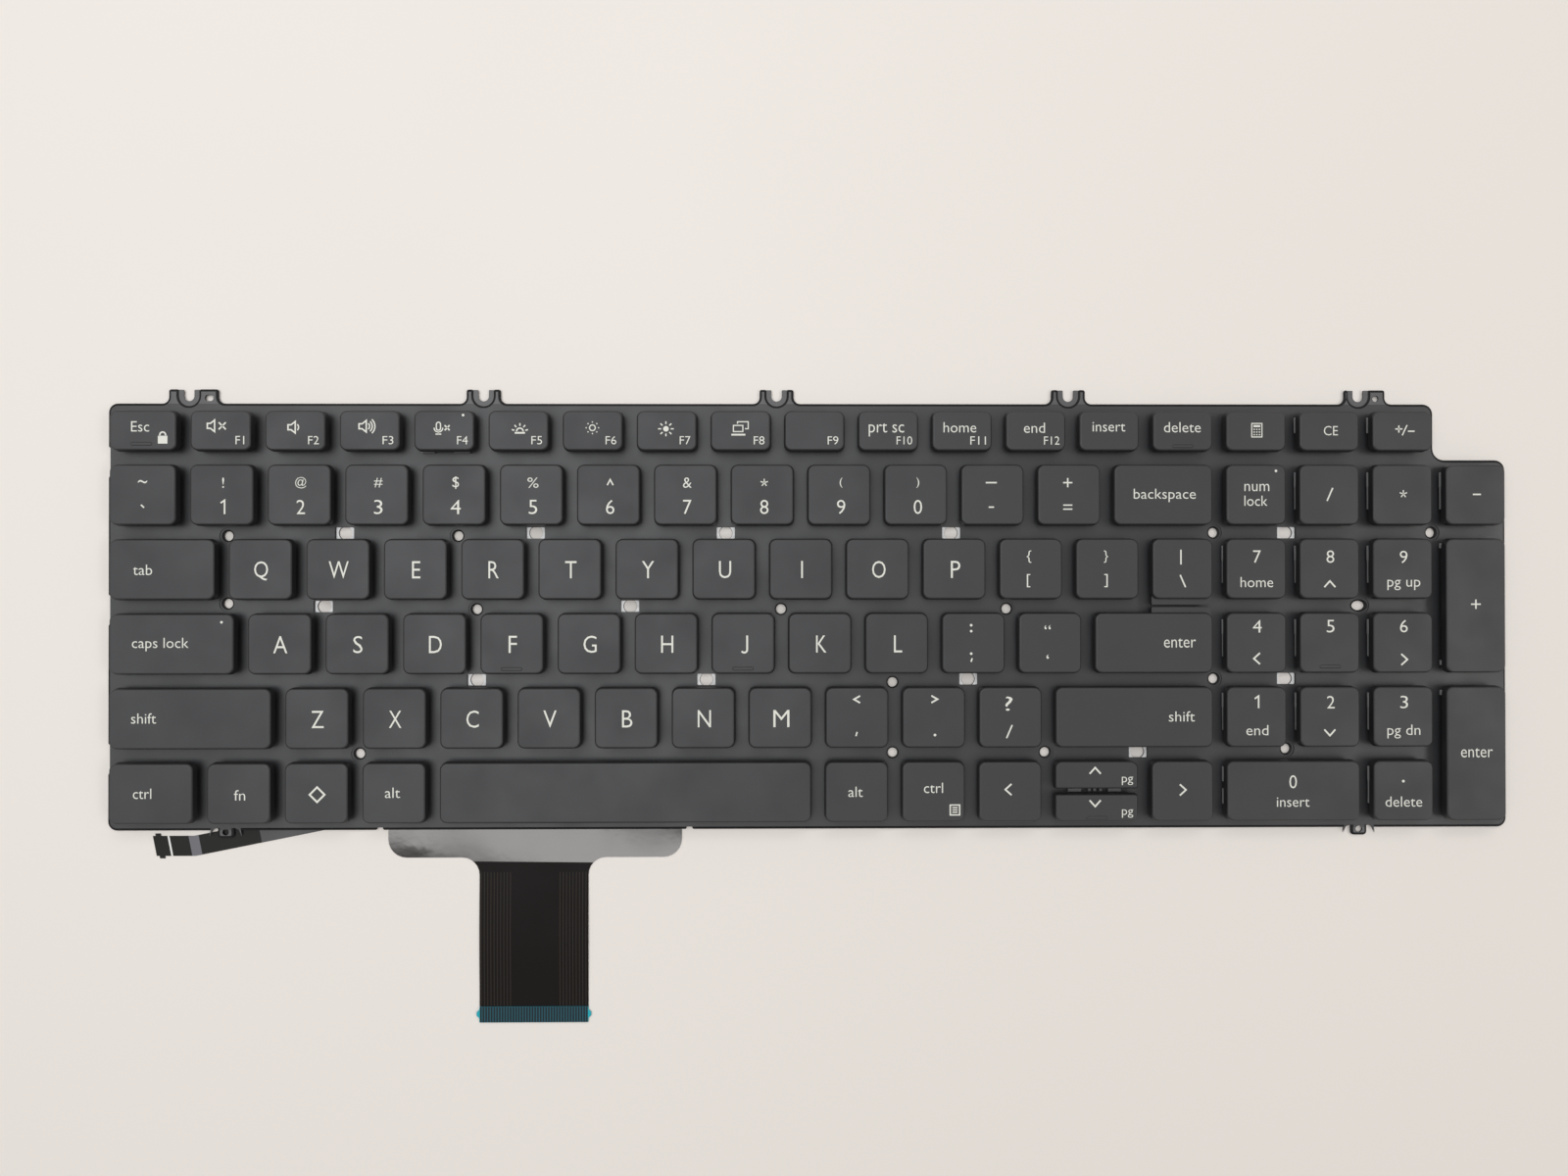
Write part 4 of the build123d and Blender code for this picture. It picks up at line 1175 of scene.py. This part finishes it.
legends["backslash"] = [
    (stroke, [(0, 1.8), (0, -1.8)], -0.45, 2.85), (stroke, [(-0.65, 1.5), (0.65, -1.5)], 0, -3.0),
]
legends["semicolon"] = [
    (dot, -0.57, 2.96, 0.32), (dot, -0.57, 4.39, 0.32),
    (dot, -0.57, -2.53, 0.32), (stroke, [(0.15, 0.4), (-0.15, -0.45)], -0.48, -4.05),
]
legends["apostrophe"] = [(fit, "\u201c", -0.62, 3.89, 1.55, 1.05), (fit, "\u2018", -0.63, -3.27, 0.6, 1.05)]
legends["comma"] = [
    (chevron, -0.01, 4.5, 180, 1.5, 1.7), (stroke, [(0.15, 0.5), (-0.15, -0.5)], -0.14, -3.92),
]
legends["period"] = [(chevron, 0.14, 4.5, 0, 1.5, 1.7), (dot, 0.25, -4.2, 0.33)]
legends["slash"] = [(fit, "?", -0.4, 3.39, 1.8, 3.45), (stroke, [(-0.7, -1.6), (0.7, 1.6)], -0.3, -3.4)]
WORDS = {
    "tab": ("tab", -4.49, -0.1, 4.6), "caps_lock": ("caps lock", -2.54, -0.05, 13.6),
    "shift_left": ("shift", -11.0, 0.2, 6.0), "shift_right": ("shift", 11.55, 0.2, 6.35),
    "ctrl_left": ("ctrl", -1.92, 0.13, 4.4), "ctrl_right": ("ctrl", -0.03, 1.04, 4.65),
    "alt_left": ("alt", -0.23, 0.2, 3.65), "alt_right": ("alt", -0.29, 0.14, 3.5),
    "enter": ("enter", 6.27, 0.02, 7.8), "pad_enter": ("enter", -0.05, 0.25, 7.8),
    "backspace": ("backspace", 0.3, -0.2, 15.2), "fn": ("fn", 0.36, -0.28, 2.7),
    "esc": ("Esc", -0.52, 0.9, 4.35), "f10": ("prt sc", -0.48, 0.2, 8.6), "f11": ("home", -0.54, 0.8, 8.0),
    "f12": ("end", -0.33, 0.7, 5.15), "insert": ("insert", -0.1, 0.95, 8.0),
    "delete": ("delete", -0.1, 0.85, 9.0),
}
DESCENDERS, SHORT_WORDS = ("prt sc", "backspace", "caps lock"), ("enter", "insert")
for name, (text, x, y, width) in WORDS.items():
    height = WORD_HEIGHT + (0.75 if text in DESCENDERS else -0.2 if text in SHORT_WORDS else 0.0)
    legends[name] = [(fit, text, x, y, width, height)]
legends["esc"].append((padlock, 4.9, -1.8))
legends.update({
    "f1": [(drawing, speaker(0), -1.0, 1.05), (drawing, cross(0.85), 0.5, 1.05)],
    "f2": [(drawing, speaker(1), 0.45, 0.72)],
    "f3": [(drawing, speaker(3), -0.4, 0.97)],
    "f4": [(drawing, MICROPHONE, -1.3, 0.62), (drawing, cross(0.6), 0.8, 0.62), (dot, 4.65, 3.7, LED_RADIUS)],
    "f5": [(drawing, GLOWING_BAR, 0.42, 0.5)],
    "f6": [
        (drawing, SUN_RING, 0, 0.64),
        *((dot, 1.5 * cos(n * pi / 4), 0.64 + 1.4 * sin(n * pi / 4), 0.16) for n in range(8)),
    ],
    "f7": [(dot, -0.15, 0.4, 0.68), (drawing, SUN_RAYS, -0.15, 0.4)],
    "f8": [(drawing, SCREENS, -0.15, 0.43)],
})
for n in range(1, 13):
    width = 2.1 if n == 1 else 2.6 if n < 10 else 3.8
    legends.setdefault(f"f{n}", []).append((fit, f"F{n}", 5.8 - width / 2, -2.4, width, 2.0))
legends["calculator"] = [(calculator, 0.17, 0.14)]
legends["clear"] = [(fit, "CE", 0.34, 0.03, 3.45, 2.3)]
legends["sign"] = [(drawing, PLUS_MINUS, 0.53, 0.16)]
legends["ctrl_right"].append((drawing, MENU, 5.2, -4.33))
legends["caps_lock"].append((dot, 12.18, 5.32, LED_RADIUS))
legends["num_lock"] = [
    (fit, "num", 0.13, 1.73, 6.1, 1.8), (fit, "lock", -0.12, -1.51, 5.65, WORD_HEIGHT),
    (dot, 4.83, 5.8, LED_RADIUS),
]
legends["divide"] = [(stroke, [(-0.7, -1.6), (0.7, 1.6)], 0.05, 0.05)]
legends["times"] = [(drawing, STAR, 0.11, 0.17)]
legends["subtract"] = [(stroke, [(-1.0, 0), (1.0, 0)], 0.2, 0.05)]
legends["add"] = [(fit, "+", -0.15, 0.34, 2.4, 2.3)]
PAD_DIGITS = {7: 2.95, 8: 2.95, 9: 2.85, 4: 4.05, 5: 4.05, 6: 4.05, 2: 3.6, 3: 3.6}
for digit, y in PAD_DIGITS.items():
    legends[f"pad_{digit}"] = [(fit, str(digit), 0.12, y, 2.2 if digit == 4 else 1.9, 3.05)]
legends["pad_1"] = [(one, 0.05, 3.7, 3.05)]
legends["pad_0"] = [(fit, "0", -0.2, 2.3, 1.85, 3.2), (fit, "insert", -0.2, -2.65, 8.0, WORD_HEIGHT - 0.2)]
legends["decimal"] = [(dot, -0.15, 2.4, 0.34), (fit, "delete", -0.04, -2.6, 9.0, WORD_HEIGHT)]
PAD_WORDS = {
    "pad_7": ("home", 0.06, -3.27, 8.0), "pad_9": ("pg up", 0.15, -4.0, 8.1),
    "pad_1": ("end", 0.07, -3.2, 5.4), "pad_3": ("pg dn", 0.02, -3.6, 8.1),
}
for name, (text, x, y, width) in PAD_WORDS.items():
    legends[name].append((fit, text, x, y, width, WORD_HEIGHT + (0.85 if name == "pad_3" else 0.0)))
PAD_ARROWS = {
    "pad_8": (-0.03, -3.76, 90), "pad_4": (0.01, -3.83, 180),
    "pad_6": (0.2, -4.1, 0), "pad_2": (-0.15, -3.81, 270),
}
for name, arrow in PAD_ARROWS.items():
    legends[name].append((chevron, *arrow))
legends["system"] = [(drawing, DIAMOND, 0.3, -0.2)]
legends["arrow_left"] = [(chevron, -0.46, 0.6, 180)]
legends["arrow_right"] = [(chevron, 0, 0.4, 0)]
legends["arrow_up"] = [(chevron, -0.43, 1.1, 90), (fit, "pg", 7.46, -1.4, 2.75, 2.0)]
legends["arrow_down"] = [(chevron, -0.45, 1.2, 270), (fit, "pg", 7.46, -1.3, 2.75, 2.0)]

legend_ink = grained("legend_ink", (0.66, 0.66, 0.60), (0.76, 0.76, 0.70), (0.5, 0.6), 3000.0)


def legend_piece(name, keys, body):
    bm = bmesh.new()
    for key in keys:
        for draw, *rest in legends.get(key.name, []):
            draw(bm, key, *rest)
    bmesh.ops.remove_doubles(bm, verts=bm.verts[:], dist=0.002)
    thicken(bm, CAP_TOP - LEGEND_HEIGHT, CAP_TOP + LEGEND_HEIGHT)
    piece(name, bm, [legend_ink], body=body)


for key in moving_keys:
    if key.name in legends:
        legend_piece(f"legend_{key.name}", [key], f"key_{key.name}")
legend_piece("legends_upper_rows", upper_keys, "chassis")
legend_piece("legends_number_pad", pad_keys, "chassis")

# Studio: a plain pale table, soft light from panels overhead, and a camera close above the keys.
# The large panel stands to the left, lesser ones to the right and behind; the flap mirrors the narrow one.
FLOOR_SIZE, FLOOR_DROP = 2.4, 0.00003
FILL_LIGHT = 0.40
BACKDROP = (0.80, 0.765, 0.725)
PANELS = (
    (-0.36, 0.25, 0.9, 0.9, 1.0, 0.0, 2.3, (0.95, 0.98, 1.0)),
    (0.95, -0.15, 0.9, 0.4, 0.9, 0.0, 3.8, (1.0, 0.98, 0.97)),
    (0.30, 1.00, 0.9, 1.0, 0.4, 0.0, 3.0, (1.0, 0.98, 0.97)),
    (-0.285, -0.285, 0.9, 0.45, 0.071, -11.0, 4.5, (1.0, 0.98, 0.97)),
)
CAMERA_PLACE = (-8.807, 5.915, 240.0)
CAMERA_TURNS = (radians(-0.2502), radians(0.5044), radians(0.0493))
CAMERA_LENS, SENSOR = 22.225, 36.0

table_top = grained(
    "table_top", (0.785, 0.740, 0.697), (0.810, 0.765, 0.725), (0.5, 0.65), 700.0, cloud=8.0,
)
bm = bmesh.new()
bmesh.ops.create_grid(bm, x_segments=1, y_segments=1, size=FLOOR_SIZE / 2)
shift(bm, 0, 0, -FLOOR_DROP)
floor_mesh = bpy.data.meshes.new("table")
bm.to_mesh(floor_mesh)
bm.free()
floor_mesh.materials.append(table_top)
table = bpy.data.objects.new("table", floor_mesh)
bpy.context.scene.collection.objects.link(table)

world = bpy.data.worlds.new("studio")
world.use_nodes = True
bpy.context.scene.world = world
tree = world.node_tree
backdrop = tree.nodes["Background"]
backdrop.inputs["Color"].default_value = (*BACKDROP, 1)
rays = node(tree, "LightPath").outputs
seen = rays["Is Camera Ray"]
for kind in ("Is Glossy Ray", "Is Transmission Ray"):
    either = node(tree, "Math", wires={0: seen, 1: rays[kind]})
    either.operation = "MAXIMUM"
    seen = either.outputs[0]
strength = node(tree, "MapRange", {"To Min": FILL_LIGHT, "To Max": 1.0}, {"Value": seen})
tree.links.new(strength.outputs["Result"], backdrop.inputs["Strength"])

for n, (x, y, z, width, depth, turn, brightness, tint) in enumerate(PANELS):
    light = bpy.data.lights.new(f"panel_{n}", "AREA")
    light.shape, light.size, light.size_y = "RECTANGLE", width, depth
    light.energy, light.color = brightness * pi * width * depth, tint
    panel = bpy.data.objects.new(f"panel_{n}", light)
    panel.location = (x, y, z)
    panel.rotation_euler.z = radians(turn)
    bpy.context.scene.collection.objects.link(panel)

lens = bpy.data.cameras.new("camera")
lens.lens, lens.sensor_width, lens.sensor_fit = CAMERA_LENS, SENSOR, "HORIZONTAL"
lens.clip_start = 0.01
camera = bpy.data.objects.new("camera", lens)
turn_x, turn_y, turn_z = CAMERA_TURNS
turned = Matrix.Rotation(turn_z, 4, "Z") @ Matrix.Rotation(turn_y, 4, "Y") @ Matrix.Rotation(turn_x, 4, "X")
camera.matrix_world = Matrix.Translation(Vector(CAMERA_PLACE) * MM) @ turned.transposed()
bpy.context.scene.collection.objects.link(camera)
bpy.context.scene.camera = camera
bpy.context.scene.view_settings.view_transform = "Standard"
